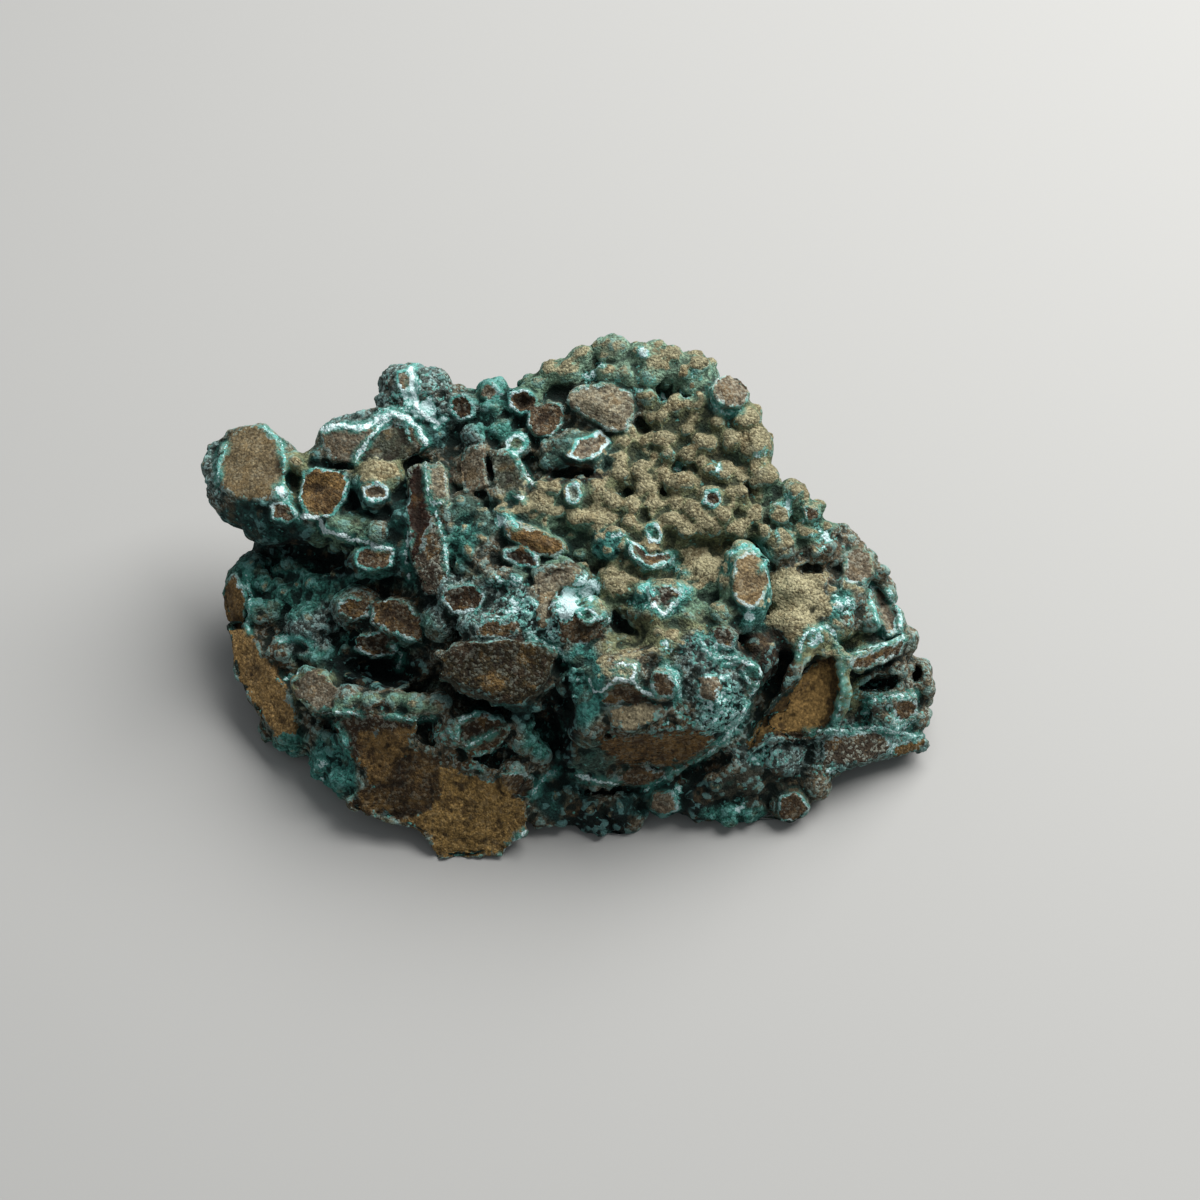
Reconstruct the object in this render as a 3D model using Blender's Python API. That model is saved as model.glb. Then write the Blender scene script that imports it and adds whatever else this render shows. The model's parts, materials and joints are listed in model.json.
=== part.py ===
"""A hand-sized specimen of chrysocolla: lumpy crust grown over broken copper ore.

The specimen is one natural piece. Its forms are laid out as seen by an eye that
looks down on it from the front: every place is given as millimetres across and
up in that view, with the height of the rock's skin above the base. The back and
the sides that this eye can't see are grown as a crust of lumps of the same kind.

Run with: blender --background --python part.py
"""

import math
import random

import bmesh
import bpy
import numpy as np
from mathutils import Matrix, Vector
from mathutils.bvhtree import BVHTree

MM = 0.001

# The eye's view that the forms are laid out in, in millimetres and degrees.
ELEVATION = math.radians(52.0)
EYE_DISTANCE = 359.0
MARK_HEIGHT = 22.0  # height of the view's middle above the base
BASE_MIDDLE = (-4.137, 3.354)  # from the view's middle to the middle of the base

# How fine the rock is made.
VOXEL = 0.75
SOFTEN_PASSES = 1
TRIANGLES = 9400
BASE_CUT = 0.0

ACROSS = Vector((1.0, 0.0, 0.0))
UPWARD = Vector((0.0, math.sin(ELEVATION), math.cos(ELEVATION)))
OUTWARD = Vector((0.0, -math.cos(ELEVATION), math.sin(ELEVATION)))
MARK = Vector((0.0, 0.0, MARK_HEIGHT))
EYE = MARK + EYE_DISTANCE * OUTWARD
VIEW_AXES = Matrix((ACROSS, UPWARD, OUTWARD)).transposed()

# Inner masses of the rock: x, y, z of the middle and the three half sizes.
MASSES = [
    (0.0, -6.0, 14.0, 16.0, 14.0, 14.5),
    (13.0, -5.0, 14.0, 15.0, 14.0, 14.0),
    (0.0, 10.0, 17.0, 20.0, 19.0, 17.5),
    (13.0, 13.0, 19.0, 16.0, 18.0, 18.0),
    (3.0, 22.0, 23.0, 16.0, 13.0, 18.5),
    (-20.0, 4.0, 14.0, 14.0, 16.0, 15.0),
    (-24.0, 17.0, 17.0, 14.0, 14.0, 16.5),
    (25.0, 0.0, 11.0, 13.0, 13.0, 15.0),
    (-36.0, 9.0, 11.0, 14.0, 12.0, 13.0),
    (-36.0, -5.0, 7.0, 13.0, 11.0, 10.0),
    (36.0, -4.0, 9.0, 11.0, 10.0, 11.0),
    (42.0, -6.0, 6.0, 8.0, 9.0, 9.0),
    (-24.0, -14.0, 5.0, 13.0, 13.0, 10.0),
    (18.0, -15.0, 5.0, 15.0, 10.0, 9.0),
    (3.0, -16.0, 6.0, 12.0, 9.0, 9.0),
    (30.0, -12.0, 5.0, 11.0, 9.0, 9.0),
    (-14.0, 8.0, 20.0, 12.0, 12.0, 12.0),
    (-22.0, 18.0, 24.0, 10.0, 9.0, 12.0),
    (-36.0, 13.0, 20.0, 9.0, 8.0, 9.5),
    (28.0, 5.0, 22.0, 8.0, 9.0, 10.0),
    (34.0, 0.0, 18.0, 7.0, 8.0, 9.5),
    (-8.0, 13.0, 25.0, 11.0, 11.0, 10.5),
    (-4.0, 23.0, 29.0, 10.0, 9.0, 10.8),
    (-8.0, -22.0, 3.0, 9.0, 6.0, 5.5),
    (-50.0, 5.0, 7.0, 5.0, 9.0, 9.0),
    (-46.0, -6.0, 6.0, 7.0, 10.0, 7.0),
    (0.0, 15.0, 5.0, 21.0, 14.0, 11.0),
    (-26.0, 12.0, 4.0, 15.0, 12.0, 10.0),
    (22.0, 7.0, 4.0, 13.0, 11.0, 10.0),
]

# Each lump: across, up, height of its skin, its half sizes across, up and
# outward in the view, and its roll in degrees.
KNOB_END = [
    (-52.0, 18.0, 33.0, 7.4, 7.8, 8.0, 0),
    (-49.4, 13.6, 29.6, 5.6, 5.6, 6.5, 0),
    (-45.6, 13.0, 29.6, 4.6, 4.6, 6.0, 0),
    (-43.2, 11.6, 29.0, 4.0, 3.4, 5.0, 0),
    (-42.0, 21.3, 34.0, 2.2, 2.2, 3.0, 0),
]
TOP_LEFT = [
    (-35.6, 24.4, 37.0, 7.0, 3.6, 4.5, 4),
    (-30.5, 26.6, 37.5, 2.8, 2.8, 3.5, 0),
    (-39.5, 23.0, 35.5, 3.4, 3.2, 4.0, 0),
    (-30.0, 32.2, 41.0, 3.4, 3.6, 6.0, 0),
    (-25.8, 31.4, 40.5, 3.5, 3.8, 5.0, 0),
    (-27.5, 28.0, 38.5, 4.0, 3.0, 4.5, 0),
    (-23.2, 27.5, 38.5, 2.6, 3.0, 4.0, 0),
    (-20.5, 28.5, 39.5, 3.1, 3.0, 3.5, 0),
    (-25.5, 23.6, 36.8, 2.7, 3.0, 3.5, 0),
    (-33.3, 18.3, 35.5, 4.4, 3.9, 4.4, 15),
    (-33.6, 15.6, 34.0, 2.5, 2.3, 2.6, 0),
    (-38.0, 11.0, 31.0, 3.6, 2.6, 4.0, -10),
    (-33.0, 10.0, 31.5, 3.0, 2.4, 3.5, 0),
    (-33.5, 6.0, 29.0, 4.6, 2.6, 3.5, 0),
    (-29.2, 12.0, 33.0, 2.4, 3.4, 3.5, 0),
    (-29.5, 7.0, 29.5, 2.4, 3.6, 3.5, 0),
]
TOP_MIDDLE = [
    (-20.0, 13.0, 34.5, 3.2, 3.6, 4.0, 0),
    (-12.5, 23.3, 39.0, 2.6, 2.5, 3.0, 0),
    (-11.3, 29.6, 41.3, 3.2, 2.7, 3.5, 0),
    (-7.8, 26.8, 40.9, 3.1, 2.6, 3.0, 0),
    (-16.0, 31.2, 41.0, 2.5, 2.3, 3.5, 0),
    (-16.0, 28.4, 40.0, 2.2, 2.0, 2.8, 0),
    (-15.0, 25.6, 39.2, 2.1, 2.0, 2.5, 0),
    (-18.6, 24.8, 38.6, 2.1, 2.0, 2.5, 0),
    (0.0, 29.0, 43.2, 5.0, 3.5, 5.0, -12),
    (-4.0, 22.4, 40.5, 5.7, 3.3, 5.0, 5),
    (-6.0, 16.0, 37.2, 5.0, 4.0, 5.0, 0),
    (0.0, 15.5, 37.2, 4.0, 4.0, 5.0, 0),
    (-9.0, 13.5, 36.6, 4.4, 2.8, 4.0, 0),
    (-1.0, 11.8, 36.0, 4.2, 1.8, 3.0, 3),
    (-10.0, 9.2, 35.6, 4.8, 2.0, 3.0, -20),
    (-12.0, 6.2, 34.0, 3.2, 1.8, 3.0, -20),
    (-17.4, 11.3, 35.0, 1.8, 2.4, 2.6, 0),
    (-18.0, 7.0, 33.4, 4.5, 5.0, 5.0, 0),
    (-17.0, 2.0, 31.8, 4.5, 4.0, 5.0, 0),
]
HUMP = [
    (2.0, 37.6, 45.0, 2.7, 2.4, 4.0, 0),
    (-2.8, 36.6, 44.3, 1.9, 1.8, 3.0, 0),
    (8.0, 35.2, 44.6, 5.6, 3.7, 7.0, 0),
    (13.7, 33.6, 43.7, 4.6, 3.6, 6.0, -25),
    (-5.0, 34.0, 43.0, 4.2, 2.6, 5.0, 25),
    (-9.5, 32.0, 41.6, 2.8, 2.2, 4.0, 0),
    (4.0, 33.0, 43.3, 6.0, 4.0, 6.0, 0),
    (19.0, 30.3, 43.2, 3.1, 3.1, 3.6, 0),
]
FIELD = [
    (8.0, 20.0, 37.8, 10.0, 10.0, 8.0, 0),
    (16.5, 20.0, 38.3, 9.0, 9.0, 8.0, 0),
    (12.0, 10.0, 34.6, 10.0, 7.0, 7.0, 0),
    (15.5, 26.5, 41.0, 7.0, 5.0, 6.0, 0),
    (6.0, 27.0, 40.2, 6.0, 4.0, 5.0, 0),
    (9.8, 23.8, 39.8, 2.2, 1.8, 2.4, 0),
    (13.5, 21.6, 39.3, 2.3, 2.0, 2.4, 0),
    (3.3, 23.6, 39.6, 2.0, 1.8, 2.2, 0),
    (6.6, 19.0, 38.4, 2.4, 2.0, 2.4, 0),
    (3.0, 18.4, 38.2, 1.9, 1.9, 2.4, 0),
    (12.8, 17.2, 38.0, 2.4, 2.0, 2.4, 0),
    (16.7, 15.0, 37.7, 2.2, 2.2, 2.6, 0),
    (11.5, 13.8, 36.7, 2.4, 2.2, 2.6, 0),
    (4.8, 13.6, 36.6, 2.2, 2.0, 2.4, 0),
    (7.9, 9.8, 35.6, 1.9, 2.3, 2.4, 0),
    (1.5, 8.5, 35.6, 2.9, 2.7, 3.0, 0),
    (6.7, 6.2, 34.6, 3.5, 2.6, 3.0, -15),
    (16.8, 11.0, 36.4, 2.8, 2.4, 3.0, 0),
    (21.5, 27.0, 41.6, 3.0, 2.8, 4.0, 0),
    (23.3, 22.6, 40.8, 3.0, 4.0, 5.0, 0),
    (24.4, 18.3, 38.8, 2.4, 2.6, 3.5, 0),
]
RIGHT_SHOULDER = [
    (29.0, 15.6, 36.4, 2.3, 2.3, 3.5, 0),
    (31.4, 13.0, 34.4, 2.2, 2.3, 3.5, 0),
    (33.4, 10.0, 32.0, 2.1, 2.2, 3.2, 0),
    (26.4, 13.0, 35.4, 2.1, 2.1, 3.2, 0),
    (23.0, 12.6, 35.4, 2.1, 2.1, 3.2, 0),
    (27.0, 8.0, 33.4, 2.8, 3.1, 3.6, 0),
    (32.5, 7.6, 31.2, 4.0, 2.8, 4.0, 0),
    (36.6, 9.2, 29.8, 1.9, 1.9, 3.2, 0),
    (39.0, 4.8, 28.0, 2.8, 2.6, 4.0, 0),
    (43.0, 1.2, 23.8, 1.9, 2.1, 3.6, 0),
    (37.5, 0.0, 26.4, 3.3, 3.0, 4.2, 0),
    (40.4, -2.8, 24.0, 2.5, 2.5, 3.6, 0),
    (43.6, -3.6, 21.6, 2.3, 2.4, 3.4, 0),
    (30.0, 2.0, 30.0, 5.0, 4.0, 5.0, 0),
    (29.5, -3.0, 28.6, 4.5, 3.6, 5.0, 0),
    (35.5, -3.4, 26.0, 3.2, 3.0, 4.0, 0),
]
RIGHT_END = [
    (45.6, -6.2, 18.4, 2.4, 2.8, 4.0, 0),
    (40.6, -7.8, 20.8, 3.6, 1.6, 4.2, 14),
    (40.2, -12.6, 16.6, 2.0, 2.0, 3.0, 0),
    (44.2, -10.4, 16.0, 2.2, 2.0, 3.2, 0),
    (42.6, -17.6, 11.6, 3.2, 3.0, 4.2, 0),
    (48.6, -12.0, 11.6, 2.0, 3.4, 4.4, 10),
    (47.6, -17.6, 8.2, 2.4, 2.4, 4.0, 0),
    (37.0, -22.3, 9.4, 4.8, 3.2, 5.0, -10),
    (44.6, -21.2, 6.4, 4.5, 1.8, 4.4, 12),
    (32.6, -24.6, 8.4, 2.7, 2.6, 3.5, 0),
]
BOULDER = [
    (3.0, -10.0, 30.6, 8.0, 5.5, 8.0, 0),
    (14.0, -9.0, 29.6, 7.2, 5.6, 7.0, 0),
    (-1.6, -15.0, 25.6, 3.8, 7.4, 7.0, 0),
    (18.4, -13.0, 27.0, 4.0, 6.0, 6.0, -20),
    (9.5, 0.3, 33.5, 3.8, 2.8, 3.6, 0),
    (15.6, 1.6, 32.6, 4.6, 5.0, 5.0, 0),
    (21.8, 1.8, 34.8, 3.9, 6.4, 4.6, 0),
    (9.3, -12.4, 28.6, 2.6, 2.6, 3.0, 0),
    (24.0, -8.4, 26.4, 3.0, 4.4, 5.0, 0),
]
MIDDLE_FRONT = [
    (-5.6, -2.0, 33.2, 3.2, 2.8, 4.0, 0),
    (-1.4, -2.3, 33.0, 2.7, 2.5, 3.6, 0),
    (-5.8, 3.4, 34.4, 4.6, 2.4, 4.0, -4),
    (3.0, 1.4, 33.4, 4.0, 4.0, 5.0, 0),
    (-13.0, -1.6, 31.4, 4.2, 3.2, 4.4, 0),
    (-20.4, 0.0, 30.6, 4.2, 3.2, 4.0, 0),
    (-24.0, -3.4, 27.4, 3.0, 3.0, 4.0, 0),
    (-15.2, -10.4, 28.6, 8.6, 4.9, 5.0, -6),
    (-11.4, -14.2, 23.8, 3.6, 3.0, 4.0, 0),
    (-11.4, -21.0, 15.6, 2.4, 2.4, 3.2, 0),
    (-8.6, -23.8, 12.6, 2.2, 2.2, 3.0, 0),
    (-17.0, -20.0, 18.2, 3.0, 3.3, 4.0, 0),
    (-22.0, -19.4, 18.4, 3.2, 3.0, 4.0, 0),
    (-12.8, -25.8, 12.6, 2.2, 2.4, 3.2, 0),
]
LEFT_BASIN = [
    (-54.2, 0.4, 16.4, 2.7, 4.6, 6.0, 0),
    (-52.4, 4.6, 18.0, 3.0, 2.8, 6.0, 0),
    (-50.0, -2.0, 16.6, 3.0, 3.0, 4.0, 0),
    (-46.8, 0.6, 18.0, 2.7, 2.7, 3.6, 0),
    (-43.5, -3.8, 19.0, 4.0, 3.9, 4.6, 0),
    (-47.2, -7.8, 15.6, 2.9, 2.9, 3.6, 0),
    (-42.0, -8.6, 16.6, 2.9, 2.7, 3.6, 0),
    (-36.5, -1.2, 23.6, 4.3, 3.3, 4.6, 0),
    (-30.0, -3.2, 25.2, 4.3, 3.7, 4.6, -15),
    (-33.5, -6.4, 21.4, 3.4, 2.4, 3.6, 0),
    (-43.0, -13.0, 18.2, 4.1, 3.0, 4.2, 0),
    (-36.0, -14.6, 20.4, 3.2, 1.9, 4.2, -5),
    (-31.0, -15.6, 20.8, 3.4, 1.9, 4.2, 0),
    (-26.0, -16.2, 21.0, 3.2, 1.9, 4.2, 0),
    (-41.0, -23.8, 9.6, 3.6, 4.4, 5.2, 0),
    (-47.6, -21.0, 5.6, 3.0, 2.7, 4.4, 0),
]
FRONT_SKIRT = [
    (-6.0, -30.0, 6.0, 2.8, 2.8, 3.8, 0),
    (-1.6, -31.0, 5.4, 3.2, 2.8, 4.0, 0),
    (3.0, -30.8, 5.4, 3.0, 2.8, 4.0, 0),
    (-0.6, -33.4, 2.8, 2.8, 2.2, 3.8, 0),
    (4.3, -32.6, 3.2, 2.5, 2.2, 3.6, 0),
    (9.8, -29.8, 6.4, 3.0, 2.8, 4.2, 0),
    (14.6, -30.3, 5.8, 3.2, 2.8, 4.2, 0),
    (19.0, -31.4, 4.0, 2.6, 2.4, 3.8, 0),
    (22.4, -30.6, 4.6, 2.8, 2.9, 4.0, 0),
    (27.0, -23.6, 11.4, 3.8, 3.4, 4.6, 0),
    (28.6, -30.6, 5.0, 3.1, 2.9, 4.2, 0),
    (32.6, -27.6, 6.4, 2.4, 2.6, 3.8, 0),
    (22.4, -26.6, 9.0, 3.0, 3.0, 4.0, 0),
]
LUMPS = (
    KNOB_END + TOP_LEFT + TOP_MIDDLE + HUMP + FIELD + RIGHT_SHOULDER + RIGHT_END
    + BOULDER + MIDDLE_FRONT + LEFT_BASIN + FRONT_SKIRT
)

# Angular pieces of broken ore: how far they reach inward, then the corners of
# the broken face as across, up and height.
BLOCKS = {
    "square face": (8.0, [
        (-44.2, 19.5, 33.2), (-37.8, 19.3, 33.8), (-38.0, 15.0, 32.4),
        (-40.0, 12.6, 31.2), (-43.5, 12.0, 30.6), (-44.8, 15.0, 31.6),
    ]),
    "tall slab": (9.0, [
        (-28.4, 19.5, 36.8), (-26.2, 20.8, 37.6), (-23.2, 20.3, 37.6),
        (-22.4, 14.5, 35.8), (-22.6, 8.0, 33.4), (-23.2, 1.8, 30.4),
        (-25.5, 0.6, 29.4), (-28.0, 5.0, 30.6), (-28.7, 12.0, 33.6),
    ]),
    "left facet": (6.0, [
        (-20.8, 21.0, 37.6), (-16.8, 23.0, 38.2), (-16.3, 19.5, 37.2),
        (-17.0, 16.4, 36.0), (-20.6, 16.6, 36.0),
    ]),
    "right facet": (6.0, [
        (-16.0, 22.5, 38.6), (-13.0, 22.2, 38.8), (-10.3, 17.5, 37.5),
        (-12.0, 15.2, 36.6), (-15.6, 16.8, 36.8),
    ]),
    "left slab": (10.0, [
        (-54.0, -5.0, 14.6), (-51.0, -7.0, 14.2), (-48.5, -11.0, 13.0),
        (-46.3, -14.5, 12.0), (-45.0, -18.0, 9.0), (-45.4, -21.0, 5.5),
        (-48.2, -20.0, 5.0), (-51.8, -15.0, 6.6), (-53.8, -10.5, 9.4),
    ]),
    "ledge wall": (8.0, [
        (-40.2, -16.2, 18.6), (-27.4, -17.4, 20.2), (-27.6, -22.0, 15.6),
        (-33.5, -27.2, 9.6), (-38.4, -21.6, 13.8),
    ]),
    "foot": (10.0, [
        (-31.0, -19.5, 16.0), (-20.0, -24.0, 13.6), (-14.5, -25.8, 12.2),
        (-10.8, -30.6, 7.2), (-10.8, -33.2, 5.0), (-14.8, -38.0, 0.8),
        (-24.3, -38.3, 0.5), (-26.0, -35.0, 3.6), (-35.0, -32.0, 5.0),
        (-37.2, -30.6, 5.6), (-36.0, -27.4, 8.6),
    ]),
    "shield": (8.0, [
        (-24.6, -8.0, 26.0), (-20.0, -6.6, 28.6), (-10.0, -6.0, 30.0),
        (-6.2, -8.0, 29.0), (-8.0, -13.0, 24.6), (-11.0, -16.4, 21.0),
        (-15.5, -15.8, 21.8), (-21.0, -12.5, 23.8), (-25.6, -11.4, 23.6),
    ]),
    "boulder top": (13.0, [
        (-4.6, -10.0, 29.4), (4.0, -6.0, 31.4), (19.0, -6.0, 31.0),
        (23.4, -10.4, 27.6), (21.5, -16.0, 23.4), (15.0, -19.6, 21.4),
        (3.0, -19.6, 21.4), (-4.6, -17.0, 22.4),
    ]),
    "boulder front": (13.0, [
        (-4.8, -17.0, 22.0), (3.0, -19.2, 21.6), (15.0, -19.2, 21.4),
        (21.0, -17.0, 22.0), (17.4, -22.8, 13.6), (8.0, -27.8, 6.8),
        (-3.6, -27.0, 7.4),
    ]),
    "cup": (9.0, [
        (29.4, -7.0, 25.4), (33.0, -4.2, 26.4), (36.4, -7.0, 24.2),
        (37.6, -13.0, 19.6), (36.4, -18.0, 15.2), (33.0, -20.8, 12.8),
        (26.0, -21.4, 13.6), (22.2, -23.0, 13.2), (24.2, -18.4, 17.6),
        (27.4, -13.0, 21.6),
    ]),
}

# Hollows between the lumps: across, up, height of the mouth, half sizes across,
# up and inward, and roll in degrees.
HOLLOWS = [
    (-43.5, 6.6, 26.0, 5.6, 2.4, 10.0, -10),
    (-34.0, -10.2, 22.0, 6.6, 2.6, 9.0, -8),
    (-8.2, -21.5, 17.0, 3.0, 5.6, 8.0, 12),
    (32.0, 4.4, 30.6, 2.8, 1.3, 5.0, 0),
    (42.2, -13.8, 18.6, 2.9, 2.1, 6.0, 0),
    (6.3, 26.4, 41.4, 1.8, 1.7, 5.0, 0),
    (31.8, -14.4, 20.4, 3.2, 6.4, 6.0, -14),
    (29.0, -18.6, 15.6, 4.2, 2.0, 5.0, -12),
    (25.0, 15.2, 38.0, 1.6, 1.4, 5.0, 0),
    (25.0, -14.0, 23.0, 1.5, 5.6, 7.0, -26),
    (1.5, -28.7, 8.0, 6.4, 0.9, 6.0, 0),
    (15.0, -25.6, 12.0, 6.6, 1.5, 7.0, 28),
    (-4.9, -17.0, 24.0, 1.0, 6.0, 7.0, 0),
    (-16.6, 20.0, 38.4, 0.9, 2.6, 5.0, 10),
    (-3.6, 19.2, 38.4, 4.2, 0.9, 4.0, 4),
]

# Broken faces trimmed flat on lumps: across, up, height of the middle, radius,
# and the tilt of the face to the right and upward in degrees.
FLATS = [
    (-51.4, 20.3, 32.6, 5.6, -6, 14),
    (-37.6, 23.2, 35.6, 3.4, -10, -10),
    (-33.4, 6.0, 28.2, 2.6, 0, -12),
    (-11.3, 29.6, 40.6, 1.9, 0, 0),
    (-7.8, 26.8, 40.2, 2.4, 0, -5),
    (-1.2, 23.2, 39.8, 2.4, 15, 0),
    (1.0, 28.8, 42.4, 3.6, 10, -15),
    (-36.6, -1.2, 22.8, 2.6, -10, 0),
    (-30.0, -3.0, 24.4, 3.0, 5, 0),
    (22.4, 2.0, 34.0, 3.4, 15, 0),
    (-15.4, -10.6, 27.4, 5.4, 0, -12),
    (3.0, -14.0, 27.0, 2.6, -5, 5),
    (5.4, -17.2, 23.6, 3.0, 0, -10),
    (39.0, 4.6, 27.2, 1.8, 5, 0),
    (43.6, -3.6, 20.8, 1.7, 15, 0),
    (28.6, -30.6, 4.2, 1.9, 0, -10),
]
FLAT_REACH = 5.0  # how far above a broken face the lump may stand

# The undercut beneath the knob: x, y, z of its middle and its half sizes.
UNDERCUT = (-58.0, 20.0, 13.0, 9.0, 11.0, 6.5)

# Crust on the sides that face away from the eye.
CRUST_LUMPS = 150
CRUST_SEED = 7
CRUST_RADII = (2.2, 5.2)


def clear_scene():
    for item in list(bpy.data.objects):
        bpy.data.objects.remove(item, do_unlink=True)


def spot(across, up, height):
    """The point at this height on the sight line through (across, up)."""
    mark = MARK + across * ACROSS + up * UPWARD
    line = mark - EYE
    return EYE + line * ((height - EYE.z) / line.z)


def add_ball(mesh, middle, axes, sizes):
    """An ellipsoid with its half sizes along the three given axes."""
    place = Matrix.Translation(middle) @ axes.to_4x4() @ Matrix.Diagonal((*sizes, 1.0))
    bmesh.ops.create_icosphere(mesh, subdivisions=3, radius=1.0, matrix=place)


def rolled(degrees):
    return VIEW_AXES @ Matrix.Rotation(math.radians(degrees), 3, "Z")


def add_lump(mesh, across, up, height, wide, tall, deep, roll):
    middle = spot(across, up, height) - deep * OUTWARD
    add_ball(mesh, middle, rolled(roll), (wide, tall, deep))


def add_block(mesh, reach, corners):
    """A prism from the broken face inward, tapering a little."""
    front = [mesh.verts.new(spot(*corner)) for corner in corners]
    centre = sum((vert.co for vert in front), Vector()) / len(front)
    inward = -reach * OUTWARD
    back = [mesh.verts.new(centre + (vert.co - centre) * 0.85 + inward) for vert in front]
    faces = [mesh.faces.new(front), mesh.faces.new(back[::-1])]
    for here in range(len(front)):
        there = (here + 1) % len(front)
        faces.append(mesh.faces.new((front[there], front[here], back[here], back[there])))
    bmesh.ops.recalc_face_normals(mesh, faces=faces)


def object_from(mesh, name):
    data = bpy.data.meshes.new(name)
    mesh.to_mesh(data)
    mesh.free()
    made = bpy.data.objects.new(name, data)
    bpy.context.collection.objects.link(made)
    return made


def apply_modifiers(made):
    graph = bpy.context.evaluated_depsgraph_get()
    data = bpy.data.meshes.new_from_object(made.evaluated_get(graph))
    made.modifiers.clear()
    made.data = data


def fuse(made):
    """Join everything that overlaps into one skin."""
    remesh = made.modifiers.new("fuse", "REMESH")
    remesh.mode = "VOXEL"
    remesh.voxel_size = VOXEL
    apply_modifiers(made)


def masses():
    mesh = bmesh.new()
    for x, y, z, wide, deep, tall in MASSES:
        add_ball(mesh, Vector((x, y, z)), Matrix.Identity(3), (wide, deep, tall))
    return mesh


def hidden_crust(mesh):
    """Lumps over the back, the ends and the lower sides, where the eye can't see."""
    tree = BVHTree.FromBMesh(mesh)
    dice = random.Random(CRUST_SEED)
    golden = math.pi * (3.0 - math.sqrt(5.0))
    middle = Vector((0.0, 4.0, 12.0))
    for number in range(CRUST_LUMPS):
        sine = -0.35 + 1.3 * (number + 0.5) / CRUST_LUMPS
        turn = golden * number
        level = math.sqrt(max(0.0, 1.0 - sine * sine))
        direction = Vector((level * math.cos(turn), level * math.sin(turn), sine))
        radius = dice.uniform(*CRUST_RADII)
        squash = dice.uniform(0.75, 1.1)
        if direction.normalized().dot(OUTWARD) > 0.05:
            continue
        start = middle + 120.0 * direction.normalized()
        hit = tree.ray_cast(start, -direction.normalized())[0]
        if hit is None or hit.z < -4.0:
            continue
        sunk = hit - direction.normalized() * radius * 0.35
        add_ball(mesh, sunk, Matrix.Identity(3), (radius, radius * squash, radius))


def rock():
    mesh = masses()
    hidden_crust(mesh)
    for lump in LUMPS:
        add_lump(mesh, *lump)
    for reach, corners in BLOCKS.values():
        add_block(mesh, reach, corners)
    made = object_from(mesh, "chrysocolla_specimen")
    fuse(made)
    return made


def hollows():
    mesh = bmesh.new()
    for across, up, height, wide, tall, deep, roll in HOLLOWS:
        add_ball(mesh, spot(across, up, height), rolled(roll), (wide, tall, deep))
    x, y, z, wide, deep, tall = UNDERCUT
    add_ball(mesh, Vector((x, y, z)), Matrix.Identity(3), (wide, deep, tall))
    made = object_from(mesh, "hollows")
    fuse(made)
    made.hide_render = True
    made.display_type = "WIRE"
    return made


def carve(made, cutter):
    cut = made.modifiers.new("hollows", "BOOLEAN")
    cut.operation = "DIFFERENCE"
    cut.object = cutter
    apply_modifiers(made)
    bpy.data.objects.remove(cutter, do_unlink=True)
    fuse(made)


def trim_flats(made):
    """Press what stands above each broken face back onto its plane."""
    count = len(made.data.vertices)
    flat = np.empty(count * 3, dtype=np.float32)
    made.data.vertices.foreach_get("co", flat)
    points = flat.reshape(count, 3).astype(float)
    eye = np.array(EYE)
    lines = points - eye
    lines /= np.linalg.norm(lines, axis=1)[:, None]
    for across, up, height, radius, right, upward in FLATS:
        middle = spot(across, up, height)
        tilt = Matrix.Rotation(math.radians(right), 3, UPWARD)
        lift = Matrix.Rotation(math.radians(-upward), 3, ACROSS)
        normal = np.array(tilt @ lift @ OUTWARD)
        sight = np.array((middle - EYE).normalized())
        above = (points - np.array(middle)) @ normal
        aside = np.linalg.norm(np.cross(points - eye, sight), axis=1)
        inside = (aside < radius) & (above > 0.0) & (above < FLAT_REACH)
        slide = above[inside] / (lines[inside] @ -normal)
        points[inside] += lines[inside] * slide[:, None]
    made.data.vertices.foreach_set("co", points.astype(np.float32).ravel())
    made.data.update()


def soften(made):
    smooth = made.modifiers.new("soften", "SMOOTH")
    smooth.factor = 0.5
    smooth.iterations = SOFTEN_PASSES
    apply_modifiers(made)


def thin_out(made):
    """Fewer triangles, with the flat stretches thinned first."""
    mesh = bmesh.new()
    mesh.from_mesh(made.data)
    bmesh.ops.triangulate(mesh, faces=mesh.faces)
    count = len(mesh.faces)
    mesh.to_mesh(made.data)
    mesh.free()
    thin = made.modifiers.new("thin out", "DECIMATE")
    thin.ratio = TRIANGLES / count
    apply_modifiers(made)


def cut_base(made):
    """The flat on which the specimen rests."""
    mesh = bmesh.new()
    mesh.from_mesh(made.data)
    whole = mesh.verts[:] + mesh.edges[:] + mesh.faces[:]
    cut = bmesh.ops.bisect_plane(
        mesh, geom=whole, dist=1e-4, plane_co=(0, 0, BASE_CUT), plane_no=(0, 0, -1),
        clear_outer=True,
    )
    rim = [item for item in cut["geom_cut"] if isinstance(item, bmesh.types.BMEdge)]
    bmesh.ops.holes_fill(mesh, edges=rim)
    bmesh.ops.triangulate(mesh, faces=mesh.faces)
    mesh.to_mesh(made.data)
    mesh.free()


def keep_largest(made):
    """Drop loose crumbs and sealed bubbles: the rock is one closed skin."""
    mesh = bmesh.new()
    mesh.from_mesh(made.data)
    left = set(mesh.verts)
    islands = []
    while left:
        seed = left.pop()
        island = {seed}
        front = [seed]
        while front:
            vert = front.pop()
            for edge in vert.link_edges:
                other = edge.other_vert(vert)
                if other not in island:
                    island.add(other)
                    front.append(other)
        left -= island
        islands.append(island)
    islands.sort(key=len)
    for island in islands[:-1]:
        bmesh.ops.delete(mesh, geom=list(island), context="VERTS")
    mesh.to_mesh(made.data)
    mesh.free()


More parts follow.
